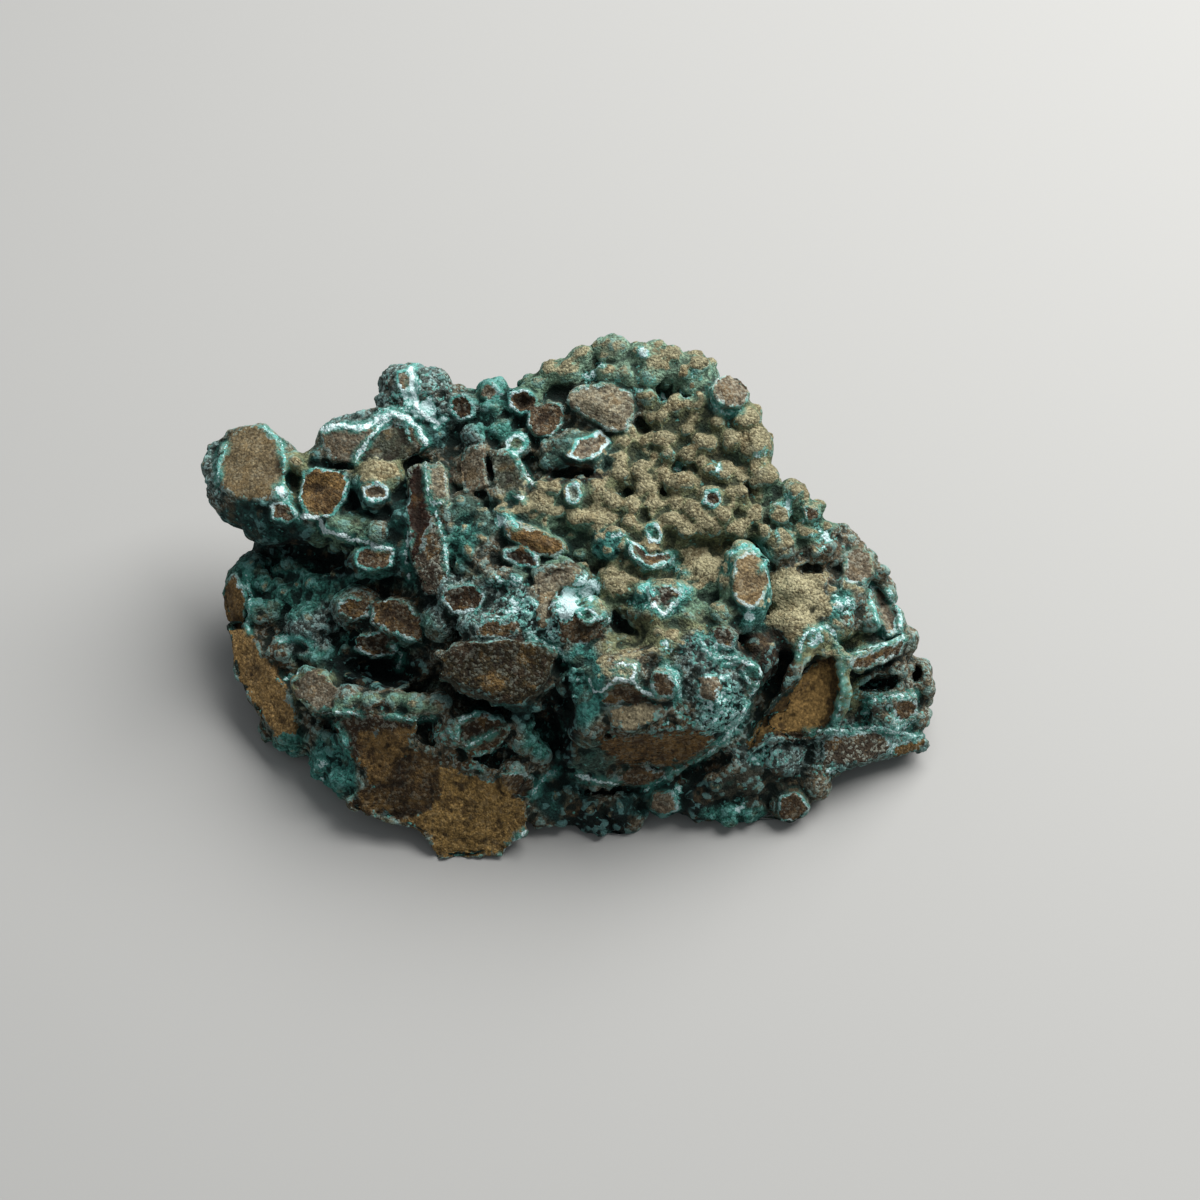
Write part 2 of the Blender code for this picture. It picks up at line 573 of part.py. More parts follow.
def settle(made):
    """Real metres, with the origin at the middle of the base."""
    shift = Matrix.Translation((-BASE_MIDDLE[0], -BASE_MIDDLE[1], 0.0))
    made.data.transform(Matrix.Scale(MM, 4) @ shift)
    made.data.update()


def dress(made):
    crust = bpy.data.materials.new("chrysocolla crust")
    crust.use_nodes = True
    surface = crust.node_tree.nodes["Principled BSDF"]
    surface.inputs["Base Color"].default_value = (0.045, 0.16, 0.13, 1.0)
    surface.inputs["Roughness"].default_value = 0.75
    surface.inputs["Metallic"].default_value = 0.0
    made.data.materials.clear()
    made.data.materials.append(crust)
    made.data.shade_smooth()
    made.data.set_sharp_from_angle(angle=math.radians(35.0))


def build():
    clear_scene()
    specimen = rock()
    carve(specimen, hollows())
    trim_flats(specimen)
    soften(specimen)
    keep_largest(specimen)
    thin_out(specimen)
    cut_base(specimen)
    keep_largest(specimen)
    settle(specimen)
    dress(specimen)


build()
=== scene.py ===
import json
import math

import bpy
import numpy as np
from mathutils import Matrix, Vector, noise
from mathutils.bvhtree import BVHTree

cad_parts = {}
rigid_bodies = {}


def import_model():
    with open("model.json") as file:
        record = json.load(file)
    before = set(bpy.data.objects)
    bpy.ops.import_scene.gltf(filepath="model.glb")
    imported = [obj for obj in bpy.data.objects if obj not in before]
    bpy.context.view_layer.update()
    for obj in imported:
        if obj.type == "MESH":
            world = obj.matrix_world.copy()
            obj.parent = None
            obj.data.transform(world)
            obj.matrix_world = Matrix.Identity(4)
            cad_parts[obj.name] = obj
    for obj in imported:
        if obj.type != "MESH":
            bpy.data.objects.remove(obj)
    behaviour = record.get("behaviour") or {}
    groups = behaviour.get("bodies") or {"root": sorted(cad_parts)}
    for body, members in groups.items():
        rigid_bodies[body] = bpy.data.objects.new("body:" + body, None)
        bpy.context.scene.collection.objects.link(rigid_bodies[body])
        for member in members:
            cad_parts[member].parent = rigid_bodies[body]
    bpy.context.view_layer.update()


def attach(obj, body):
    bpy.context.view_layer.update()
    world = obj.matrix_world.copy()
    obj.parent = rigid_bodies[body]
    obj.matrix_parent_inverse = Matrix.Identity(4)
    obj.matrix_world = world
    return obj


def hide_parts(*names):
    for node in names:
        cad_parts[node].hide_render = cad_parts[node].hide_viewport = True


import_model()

# The specimen is laid out as seen by an eye that looks down on it: millimetres
# across and up in that view, with the height of the rock's skin above the base.
sight = {
    "elevation": 52.0,  # degrees
    "distance": 359.0,  # mm, from the eye to the mark
    "width": 179.1,  # mm seen across at the mark
    "markHeight": 22.0,
    "baseMiddle": (-4.137, 3.354),  # from the mark to the middle of the base
}
mm = 0.001

lift = math.radians(sight["elevation"])
across = Vector((1.0, 0.0, 0.0))
upward = Vector((0.0, math.sin(lift), math.cos(lift)))
outward = Vector((0.0, -math.cos(lift), math.sin(lift)))
mark = mm * Vector((-sight["baseMiddle"][0], -sight["baseMiddle"][1], sight["markHeight"]))
eye = mark + sight["distance"] * mm * outward
sightAxes = Matrix((across, upward, outward)).transposed()


def spot(u, v, height):
    line = mark + mm * (u * across + v * upward) - eye
    return eye + line * ((height * mm - eye.z) / line.z)


def toSight(points):  # (across, up, outward) in mm of each point in metres
    rays = points - np.array(eye)
    out = rays @ np.array(outward)
    scale = -sight["distance"] / out
    u = rays @ np.array(across) * scale
    v = rays @ np.array(upward) * scale
    return u, v, out / mm + sight["distance"]


rockShape = {  # mm
    "coreInset": 0.9,  # how far the plain solid sits inside the fine skin
    "blockTaper": 0.85,  # a block's inner end against its front
    "firstVoxel": 0.55,
    "hollowVoxel": 0.5,
    "fineVoxel": 0.38,
    "triangles": 196000,
    "hiddenThinning": 0.66,  # share of the triangles left once the hidden sides are thinned
    "hiddenShare": 0.7,  # how much of a point's surroundings is hidden before it is thinned
    "hiddenRounds": 4,  # how wide those surroundings are
}

# across, up, height of the skin, half sizes across, up and outward, and degrees of roll
lumps = [
    # the knob at the left end
    (-52.4, 18, 31.6, 7.6, 7.6, 8), (-49.4, 13.6, 29.6, 5.6, 5.6, 6.5),
    (-45.6, 13, 29.6, 4.6, 4.6, 6), (-43.2, 11.6, 29, 4, 3.4, 5), (-42, 21.3, 34, 2, 2, 3),
    (-45.2, 20.2, 33.4, 3, 2, 4, -35), (-47.3, 12.9, 30.4, 2.6, 2, 2.6, -15),
    # top left
    (-35.6, 24.4, 37, 7, 3.6, 4.5, 4), (-30.5, 26.6, 37.5, 2.8, 2.8, 3.5),
    (-39.5, 23, 35.5, 3.4, 3.2, 4), (-30, 32.2, 41, 3.4, 3.6, 6), (-25.8, 31.4, 40.5, 3.5, 3.8, 5),
    (-27.5, 28, 38.5, 4, 3, 4.5), (-23.2, 27.5, 38.5, 2.6, 3, 4), (-20.5, 28.5, 39.5, 3.1, 3, 3.5),
    (-25.5, 23.6, 36.8, 2.7, 3, 3.5), (-33.3, 18.3, 35.5, 4.4, 3.9, 4.4, 15),
    (-33.6, 15.6, 34.6, 2.5, 2.3, 2.6), (-38, 11, 31, 3.6, 2.6, 4, -10),
    (-33, 10, 31.5, 3, 2.4, 3.5), (-33.5, 6, 29, 4.6, 2.6, 3.5), (-29.2, 12, 33, 2.4, 3.4, 3.5),
    (-29.5, 7, 29.5, 2.4, 3.6, 3.5), (-31.8, 30, 39, 1.8, 2.4, 3.5), (-22.4, 31, 39.6, 1.8, 1.6, 3),
    (-27.6, 34, 41.2, 1.6, 1.5, 3), (-24, 33, 40.6, 1.5, 1.4, 3),
    (-18.4, 21.6, 38, 2.4, 1.8, 2.6, 30), (-18.7, 24.6, 38.8, 1.8, 1.7, 2.2),
    # top middle
    (-20, 13, 34.5, 3.2, 3.6, 4), (-12.5, 23.3, 39, 2.6, 2.5, 3),
    (-11.3, 29.6, 41.3, 3.2, 2.7, 3.5), (-7.8, 26.8, 40.9, 3.1, 2.6, 3),
    (-16, 31.2, 41, 2.5, 2.3, 3.5), (-16, 28.4, 40, 2.2, 2, 2.8), (-15, 25.6, 39.2, 2.1, 2, 2.5),
    (0, 29, 43.2, 5, 3.5, 5, -12), (-4, 22.4, 40.5, 5.7, 3.3, 5, 5), (-6, 16, 37.2, 5, 4, 5),
    (0, 15.5, 37.2, 4, 4, 5), (-9, 13.5, 36.6, 4.4, 2.8, 4), (-1, 11.8, 36, 4.2, 1.8, 3, 3),
    (-10, 9.2, 35.6, 4.8, 2, 3, -20), (-12, 6.2, 34, 3.2, 1.8, 3, -20),
    (-17.4, 11.3, 35, 1.8, 2.4, 2.6), (-18, 7, 33.4, 4.5, 5, 5), (-17, 2, 31.8, 4.5, 4, 5),
    (-4, 15.8, 38, 1.7, 2.3, 2.2), (-8.7, 16.8, 38, 1.6, 1.6, 2), (-14, 12.6, 36, 1.7, 1.5, 2.2),
    (-14.5, 15.8, 36.6, 2.2, 2.2, 2.6), (-20.6, 9.4, 33.6, 1.9, 2, 2.4),
    (-22, 12.6, 34.4, 1.8, 1.9, 2.4),
    # the hump at the back
    (2, 37.6, 45, 2.7, 2.4, 4), (-2.8, 36.6, 44.3, 1.9, 1.8, 3), (8, 35.2, 44.6, 5.6, 3.7, 7),
    (13.7, 33.6, 43.7, 4.6, 3.6, 6, -25), (-5, 34, 43, 4.2, 2.6, 5, 25),
    (-9.5, 32, 41.6, 2.8, 2.2, 4), (4, 33, 43.3, 6, 4, 6), (19.3, 30.6, 44.8, 3.2, 3.1, 4.6),
    (6.4, 36.8, 45, 1.9, 1.7, 2.6), (10.6, 36.6, 44.9, 1.9, 1.7, 2.6),
    (14.4, 34.8, 44.2, 1.8, 1.6, 2.4), (-7.6, 34.6, 43, 1.6, 1.3, 2.2),
    # the tan field of grapes
    (8, 20, 37.4, 10, 10, 8), (16.5, 20, 37.9, 9, 9, 8), (12, 10, 34.2, 10, 7, 7),
    (15.5, 26.5, 40.6, 7, 5, 6), (6, 27, 39.8, 6, 4, 5), (9.8, 23.8, 39.8, 2.2, 1.8, 2.4),
    (13.5, 21.6, 39.3, 2.3, 2, 2.4), (3.3, 23.6, 39.6, 2, 1.8, 2.2), (6.6, 19, 38.4, 2.4, 2, 2.4),
    (3, 18.4, 38.2, 1.9, 1.9, 2.4), (12.8, 17.2, 38, 2.4, 2, 2.4), (3, 21, 39, 1.9, 1.7, 2.2),
    (9.3, 18.6, 38.4, 1.7, 1.6, 2.2), (16.7, 15, 38.2, 2.2, 2.2, 2.6),
    (11.5, 13.8, 36.7, 2.4, 2.2, 2.6), (4.8, 13.6, 36.6, 2.2, 2, 2.4),
    (7.9, 9.8, 35.8, 1.9, 2.3, 2.4), (1.5, 8.5, 35.6, 2.9, 2.7, 3),
    (6.7, 6.2, 34.6, 3.5, 2.6, 3, -15), (16.8, 11, 36.4, 2.8, 2.4, 3), (21.5, 27, 41.6, 3, 2.8, 4),
    (23.3, 22.6, 40.8, 3, 4, 5), (24.4, 18.3, 38.8, 2.4, 2.6, 3.5),
    (16.6, 19.2, 39.4, 1.7, 1.6, 2.2), (10.2, 21.4, 39.4, 1.6, 1.5, 2),
    (6.8, 16.6, 37.8, 1.9, 1.7, 2.2), (8.2, 14, 36.9, 1.8, 1.7, 2.2), (2, 14.6, 37.2, 1.7, 1.6, 2),
    (14.4, 13.4, 37.2, 1.8, 1.7, 2.2), (18.4, 12.4, 37.2, 1.8, 1.7, 2.2),
    (20.2, 15.6, 38, 1.9, 1.8, 2.2), (19.6, 18.6, 38.8, 1.9, 1.7, 2.2),
    (13, 25.2, 40.8, 2, 1.8, 2.4), (15.8, 23.4, 40.4, 1.8, 1.7, 2.2),
    (17.2, 26.4, 41.4, 2, 1.8, 2.4), (9.4, 27, 41.2, 1.9, 1.7, 2.2), (11.6, 28.8, 42, 2, 1.8, 2.4),
    (15, 29.2, 42.4, 1.9, 1.8, 2.4), (7, 30.2, 42.4, 1.9, 1.7, 2.2),
    (12.6, 10.6, 35.8, 1.8, 1.7, 2.2), (10.6, 11.6, 36, 1.6, 1.5, 2), (5, 10.8, 35.8, 1.7, 1.5, 2),
    (19.6, 23.8, 40.6, 1.9, 1.8, 2.2),
    # the right shoulder
    (29, 15.6, 36.4, 2.3, 2.3, 3.5), (31.4, 13, 34.4, 2.2, 2.3, 3.5), (33.4, 10, 32, 2.1, 2.2, 3.2),
    (26.4, 13, 35.4, 2.1, 2.1, 3.2), (23, 12.6, 35.4, 2.1, 2.1, 3.2), (27, 8, 33.4, 2.8, 3.1, 3.6),
    (32.5, 7.6, 31.2, 4, 2.8, 4), (36.6, 9.2, 29.8, 1.9, 1.9, 3.2), (39, 4.8, 28, 2.8, 2.6, 4),
    (43, 1.2, 23.8, 1.9, 2.1, 3.6), (37.5, 0, 26.4, 3.3, 3, 4.2), (40.4, -2.8, 24, 2.5, 2.5, 3.6),
    (43.6, -3.6, 21.6, 2.3, 2.4, 3.4), (29.6, 0.8, 29.8, 5.8, 5.4, 6),
    (29, -4.4, 27.8, 4.5, 3.6, 5), (33.4, -1.8, 27.6, 4, 4, 5), (35.5, -3.4, 26, 3.2, 3, 4),
    (24.6, 9.6, 34.2, 1.8, 1.8, 2.4), (30.4, 9.8, 33, 1.8, 1.7, 2.4),
    (20.6, 10.4, 35.2, 1.9, 1.8, 2.4), (38.4, 7.8, 28.6, 1.5, 1.4, 2.4),
    (41.6, 3.8, 25.6, 1.5, 1.6, 2.4),
    # the right end
    (45.6, -6.2, 18.4, 2.4, 2.8, 4), (40.6, -7.8, 20.8, 3.6, 1.6, 4.2, 14),
    (40.2, -12.6, 16.6, 2, 2, 3), (44.2, -10.4, 16, 2.2, 2, 3.2), (42.6, -17.6, 11.6, 3.2, 3, 4.2),
    (48.6, -12, 11.6, 2, 3.4, 4.4, 10), (47.6, -17.6, 8.2, 2.4, 2.4, 4),
    (37, -22.3, 9.4, 4.8, 3.2, 5, -10), (44.6, -21.2, 6.4, 4.5, 1.8, 4.4, 12),
    (32.6, -24.6, 8.4, 2.7, 2.6, 3.5),
    # the boulder in front
    (2.6, -11, 30.6, 4.8, 3.5, 5), (14, -9, 29.6, 7.2, 5.6, 7), (8.6, -2.4, 33, 4.2, 3, 5),
    (13.4, -2.6, 32.4, 4, 3.2, 5), (9.8, -5.6, 31.8, 3.6, 2.6, 4), (14.6, -5.4, 31.4, 3, 2.4, 4),
    (18.2, -2.4, 33.2, 1.9, 1.9, 3), (18.6, -5.6, 31.6, 2.1, 1.7, 3),
    (20.6, -12.6, 26.6, 2, 2, 2.6), (-3, -8, 29, 3, 2.4, 3.4), (-1.6, -15, 25.6, 3.8, 7.4, 7),
    (18.4, -13, 27, 4, 6, 6, -20), (9.5, 0.3, 34, 3.6, 2.6, 3.6), (15.6, 1.6, 32.2, 4.6, 5, 5),
    (21.8, 1.8, 35.2, 3.9, 6.4, 4.6), (9.3, -12.4, 28.8, 2.6, 2.6, 3), (24, -8.4, 26.4, 3, 4.4, 5),
    (16.4, -13, 27.6, 2.2, 2.1, 2.8), (6.4, 1, 33.4, 1.8, 1.5, 2.2, 20),
    (12.6, 0.9, 33.4, 1.7, 1.5, 2.2, -20), (18.4, -6, 30.6, 2.6, 1.6, 2.8, -35),
    (21.4, -9.4, 28.6, 2.2, 1.4, 2.6, -40),
    # the pale crust and the speckled shield
    (-5.6, -2, 33.6, 3.2, 2.8, 4), (-1.4, -2.3, 33.2, 2.7, 2.5, 3.6),
    (-5.8, 3.4, 34.4, 4.6, 2.4, 4, -4), (3, 1.4, 33, 4, 4, 5), (-13, -1.6, 31.4, 4.2, 3.2, 4.4),
    (-20.4, 0, 30.6, 4.2, 3.2, 4), (-24, -3.4, 27.4, 3, 3, 4),
    (-15.2, -10.4, 28.6, 8.6, 4.9, 5, -6), (-11.4, -14.2, 23.8, 3.6, 3, 4),
    (-11.2, -21, 17, 2.2, 2.2, 3.2), (-12, -18.4, 18.6, 1.8, 1.7, 3),
    (-9.4, -23, 14.6, 1.9, 1.9, 3), (-4.4, -12.6, 26.4, 1.7, 2.2, 3),
    (-4.8, -17.6, 21.6, 1.5, 2.4, 3), (-4, -22.8, 14.4, 2, 2.2, 3), (-22, -19.4, 18.4, 3.2, 3, 4),
    (-12.8, -25.8, 12.6, 2.2, 2.4, 3.2), (-9.6, 0.6, 33, 1.7, 1.6, 2.2),
    (-13, 3.2, 33.4, 2, 1.7, 2.4), (-13.8, -4.2, 30.8, 8, 2.8, 4, -3),
    (-5, -4.6, 31.4, 4.6, 2.6, 4), (-10, -1.4, 32, 5, 3.6, 4.5), (-15.6, 3, 33.2, 1.6, 1.2, 2.2),
    # the basin and the ledge at the left
    (-54.2, 0.4, 16.4, 2.8, 5.2, 6), (-52.4, 4.6, 18, 3, 2.8, 6), (-50, -2, 16.6, 3, 3, 4),
    (-46.8, 0.6, 18, 2.7, 2.7, 3.6), (-43.5, -3.8, 19, 4, 3.9, 4.6),
    (-47.2, -7.8, 15.6, 2.9, 2.9, 3.6), (-42, -8.6, 16.6, 2.9, 2.7, 3.6),
    (-36.5, -1.2, 23.6, 4.3, 3.3, 4.6), (-30, -3.2, 25.2, 4.3, 3.7, 4.6, -15),
    (-33.5, -6.4, 21.4, 3.4, 2.4, 3.6), (-37.6, -14.6, 20, 2.2, 2, 3.6),
    (-34.4, -15.4, 20.8, 2.4, 1.6, 3.6), (-31, -15.2, 20.6, 2, 1.7, 3.6),
    (-27.6, -15.8, 21.2, 2.4, 1.7, 3.6), (-24.2, -15.6, 20.8, 1.9, 1.8, 3.4),
    (-32.6, -13.4, 18.6, 1.6, 1.6, 2.6), (-41.8, -22.6, 8.4, 2.2, 2.4, 3),
    (-38.6, -26.6, 8.6, 2.2, 2.4, 3), (-36.4, -11.6, 16.4, 1.5, 2, 2.6),
    (-30.4, -12.6, 17, 1.6, 1.8, 2.6), (-27, -10.4, 19, 1.7, 2, 2.6),
    (-50.6, 2.4, 17.6, 1.8, 1.7, 2.4), (-47, 7.2, 17, 5.5, 4.5, 6), (-43, 4, 18, 5, 4, 6),
    # the skirt along the front
    (-6, -30, 6, 2.8, 2.8, 3.8), (-1.6, -31, 5.4, 3.2, 2.8, 4), (3, -30.8, 5.4, 3, 2.8, 4),
    (-0.6, -33.4, 2.8, 2.8, 2.2, 3.8), (4.3, -32.6, 3.2, 2.5, 2.2, 3.6),
    (9.8, -29.8, 6.4, 3, 2.8, 4.2), (14.6, -30.3, 5.8, 3.2, 2.8, 4.2),
    (19, -31.4, 4, 2.6, 2.4, 3.8), (22.4, -30.6, 4.6, 2.8, 2.9, 4),
    (27, -23.6, 11.4, 3.8, 3.4, 4.6), (28.6, -30.6, 5, 3.1, 2.9, 4.2),
    (32.6, -27.6, 6.4, 2.4, 2.6, 3.8), (22.4, -26.6, 9, 3, 3, 4),
]

# across, up, height of the mouth, half sizes across, up and inward
hollows = [
    (-43.5, 6.6, 26, 5.6, 2.4, 10, -10), (-33.6, -10.6, 22, 7.4, 2.5, 13, -8),
    (-25.4, -10.4, 24, 2.2, 2.4, 8), (-7, -20.5, 18, 1.8, 6.2, 9, 10), (32, 4.4, 30.6, 2.8, 1.3, 5),
    (42, -12.6, 15.4, 3.8, 1.5, 7, 10), (6.3, 26.4, 41.4, 1.8, 1.7, 5),
    (31.8, -14.4, 20.4, 3.2, 6.4, 6, -14), (29, -18.6, 15.6, 4.2, 2, 5, -12),
    (25, 15.2, 38, 1.6, 1.4, 5), (25, -14, 23, 1.5, 5.6, 7, -26), (1.5, -28.7, 8, 6.4, 0.9, 6),
    (15, -25.6, 12, 6.6, 1.5, 7, 28), (-4.9, -17, 24, 1, 6, 7), (-16.6, 20, 38.4, 0.7, 2.6, 5, 10),
    (-3.8, 19, 38.4, 4.2, 1.2, 4.5, 4), (4, -6.3, 32, 2.2, 0.9, 4.5),
    (13.5, -9.8, 30.2, 0.7, 0.7, 3), (47.4, -11, 12, 1, 1.6, 5), (0.8, 32.8, 43.6, 0.9, 0.7, 3),
    (-35, 13.2, 32.6, 1.6, 0.9, 4), (15.8, 7.2, 34.8, 0.9, 0.8, 3),
    (-49.7, -14.5, 10.6, 0.8, 0.9, 1.6),
]

# broken slabs and stubs: how deep each reaches, then its front's corners: across, up, height
blocks = [
    (8.5, [(-59.4, 19.6, 28.4), (-58.4, 23.2, 30), (-55.4, 25.4, 32.4), (-51, 26.3, 33.6),
        (-48.6, 25, 33.8), (-47, 20, 33.6), (-47.4, 15.6, 32), (-50, 14, 31), (-55.6, 14.6, 29.8),
        (-58.6, 16, 27.4)]),
    (7, [(-42.3, 24.2, 35), (-39.6, 27.4, 37.2), (-33, 29, 38.8), (-28.6, 27.6, 38.4),
        (-26.2, 23.4, 37.2), (-28.6, 20.9, 35.6), (-36, 20.4, 35), (-40.4, 20.8, 34.2)]),
    (8, [(-44.2, 19.5, 33.2), (-37.8, 19.3, 33.8), (-38, 15, 32.4), (-40, 12.6, 31.2),
        (-43.5, 12, 30.6), (-44.8, 15, 31.6)]),
    (9, [(-28.4, 19.5, 36.8), (-26.2, 20.8, 37.6), (-23.2, 20.3, 37.6), (-22.4, 14.5, 35.8),
        (-22.6, 8, 33.4), (-23.2, 1.8, 30.4), (-25.5, 0.6, 29.4), (-28, 5, 30.6),
        (-28.7, 12, 33.6)]),
    (6, [(-20.8, 21, 37.6), (-16.8, 23, 38.2), (-16.5, 19.5, 37.2), (-17, 16.4, 36),
        (-20.6, 16.6, 36)]),
    (6, [(-16, 22.5, 38.6), (-13, 22.2, 38.8), (-10.3, 17.5, 37.5), (-12, 15.2, 36.6),
        (-15.6, 16.8, 36.8)]),
    (10, [(-55.6, -3.4, 14.8), (-53, -3.4, 15), (-51, -7, 14.2), (-48.5, -11, 13),
        (-46.3, -14.5, 12), (-45, -18, 9), (-45.4, -21, 5.5), (-48.8, -20.4, 5), (-52.6, -15, 6.6),
        (-54.8, -10, 9.6)]),
    (6, [(-46, -11.8, 16.4), (-44, -10.2, 17.8), (-41, -10.6, 18.4), (-39.4, -13.6, 19),
        (-39, -16.4, 18.4), (-42.6, -16.6, 15.8), (-45.6, -14.8, 14.8)]),
    (8, [(-43.4, -18.6, 9.6), (-38.6, -20.6, 12.4), (-36.6, -24.5, 11), (-35.2, -28.8, 8),
        (-36.4, -31.2, 4.6), (-40, -28.6, 3.6), (-43.4, -24.6, 4.6)]),
    (6, [(-51, -17.6, 4.2), (-46, -20.6, 6.4), (-44.2, -21, 6), (-43.8, -23.4, 3),
        (-46.6, -23.2, 1.6), (-50.4, -20.6, 1.6)]),
    (8, [(-40.2, -16.2, 18.6), (-27.4, -17.4, 20.2), (-27.6, -22, 15.6), (-33.5, -27.2, 9.6),
        (-38.4, -21.6, 13.8)]),
    (10, [(-31, -19.5, 16), (-20, -24, 13.6), (-14.5, -25.8, 12.2), (-10.8, -30.6, 7.2),
        (-10.8, -33.2, 5), (-14.8, -38.2, 0.8), (-24.3, -38.5, 0.5), (-26, -35, 3.6), (-35, -32, 5),
        (-37.2, -30.6, 5.6), (-36, -27.4, 8.6)]),
    (8, [(-24.6, -8, 26), (-20, -6.6, 28.6), (-10, -6, 30), (-6.2, -8, 29), (-8, -13, 24.6),
        (-11, -16.4, 21), (-15.5, -15.8, 21.8), (-21, -12.5, 23.8), (-25.6, -11.4, 23.6)]),
    (6, [(-21.4, -17.6, 19.6), (-18, -16.6, 20.4), (-14.4, -17.2, 19.6), (-13.6, -19.6, 17.4),
        (-16.2, -23, 14.6), (-19.8, -23.6, 14.4), (-21.4, -21, 16.6)]),
    (13, [(-4.6, -10.4, 29.2), (2.4, -8.6, 30.4), (9, -6.6, 31.2), (19, -6, 31), (24, -10.6, 27.8),
        (22.6, -14.6, 24.6), (21.4, -17.2, 22.8), (15, -19.6, 21.4), (3, -19.6, 21.4),
        (-4.6, -17, 22.4)]),
    (13, [(-4.8, -17, 22), (3, -19.2, 21.6), (15, -19.2, 21.4), (21.4, -17.2, 22),
        (18.4, -21.6, 14.6), (14.6, -24.2, 11), (8, -28.2, 6.4), (-3.6, -27, 7.4)]),
    (9, [(29.4, -7, 25.4), (33, -4.2, 26.4), (36.4, -7, 24.2), (37.6, -13, 19.6), (36.4, -18, 15.2),
        (33, -20.8, 12.8), (26, -21.4, 13.6), (22.2, -23, 13.2), (24.2, -18.4, 17.6),
        (27.4, -13, 21.6)]),
    (5, [(0.4, -13.4, 27.4), (4.6, -12.2, 28.2), (8.8, -14.6, 26), (9.2, -15.8, 24.8),
        (0.6, -15.8, 24.6)]),
    (5, [(0.3, -15.4, 24.4), (4, -15.5, 24.6), (9.2, -15.3, 24.5), (9.6, -17.4, 23.6),
        (5.2, -19.5, 22.8), (1.8, -18.8, 23)]),
    (4, [(36.6, -8.6, 22.8), (42.4, -6.9, 22), (45.8, -5.4, 19.6), (45.2, -8.2, 18.4),
        (41, -9.8, 20), (38, -10.8, 20.6)]),
    (6, [(40.2, -15.6, 13.6), (43.4, -14.6, 13.6), (47.2, -14.4, 11.6), (47.4, -17.4, 9.4),
        (44.4, -19.4, 8.6), (40.6, -18.6, 10.8)]),
    (7, [(32.5, -20.2, 12.2), (40, -19.2, 10.8), (48.4, -20.6, 4.8), (48.6, -22.2, 3.4),
        (43.6, -23.6, 4.2), (36, -25.2, 6.6), (32, -24.6, 8.2)]),
    (4, [(36.4, 7.4, 29), (38.6, 8, 28.8), (40.8, 6.8, 27.6), (41.2, 3.8, 26.2), (39.4, 1.6, 26),
        (36.2, 2.6, 27.6)]),
]

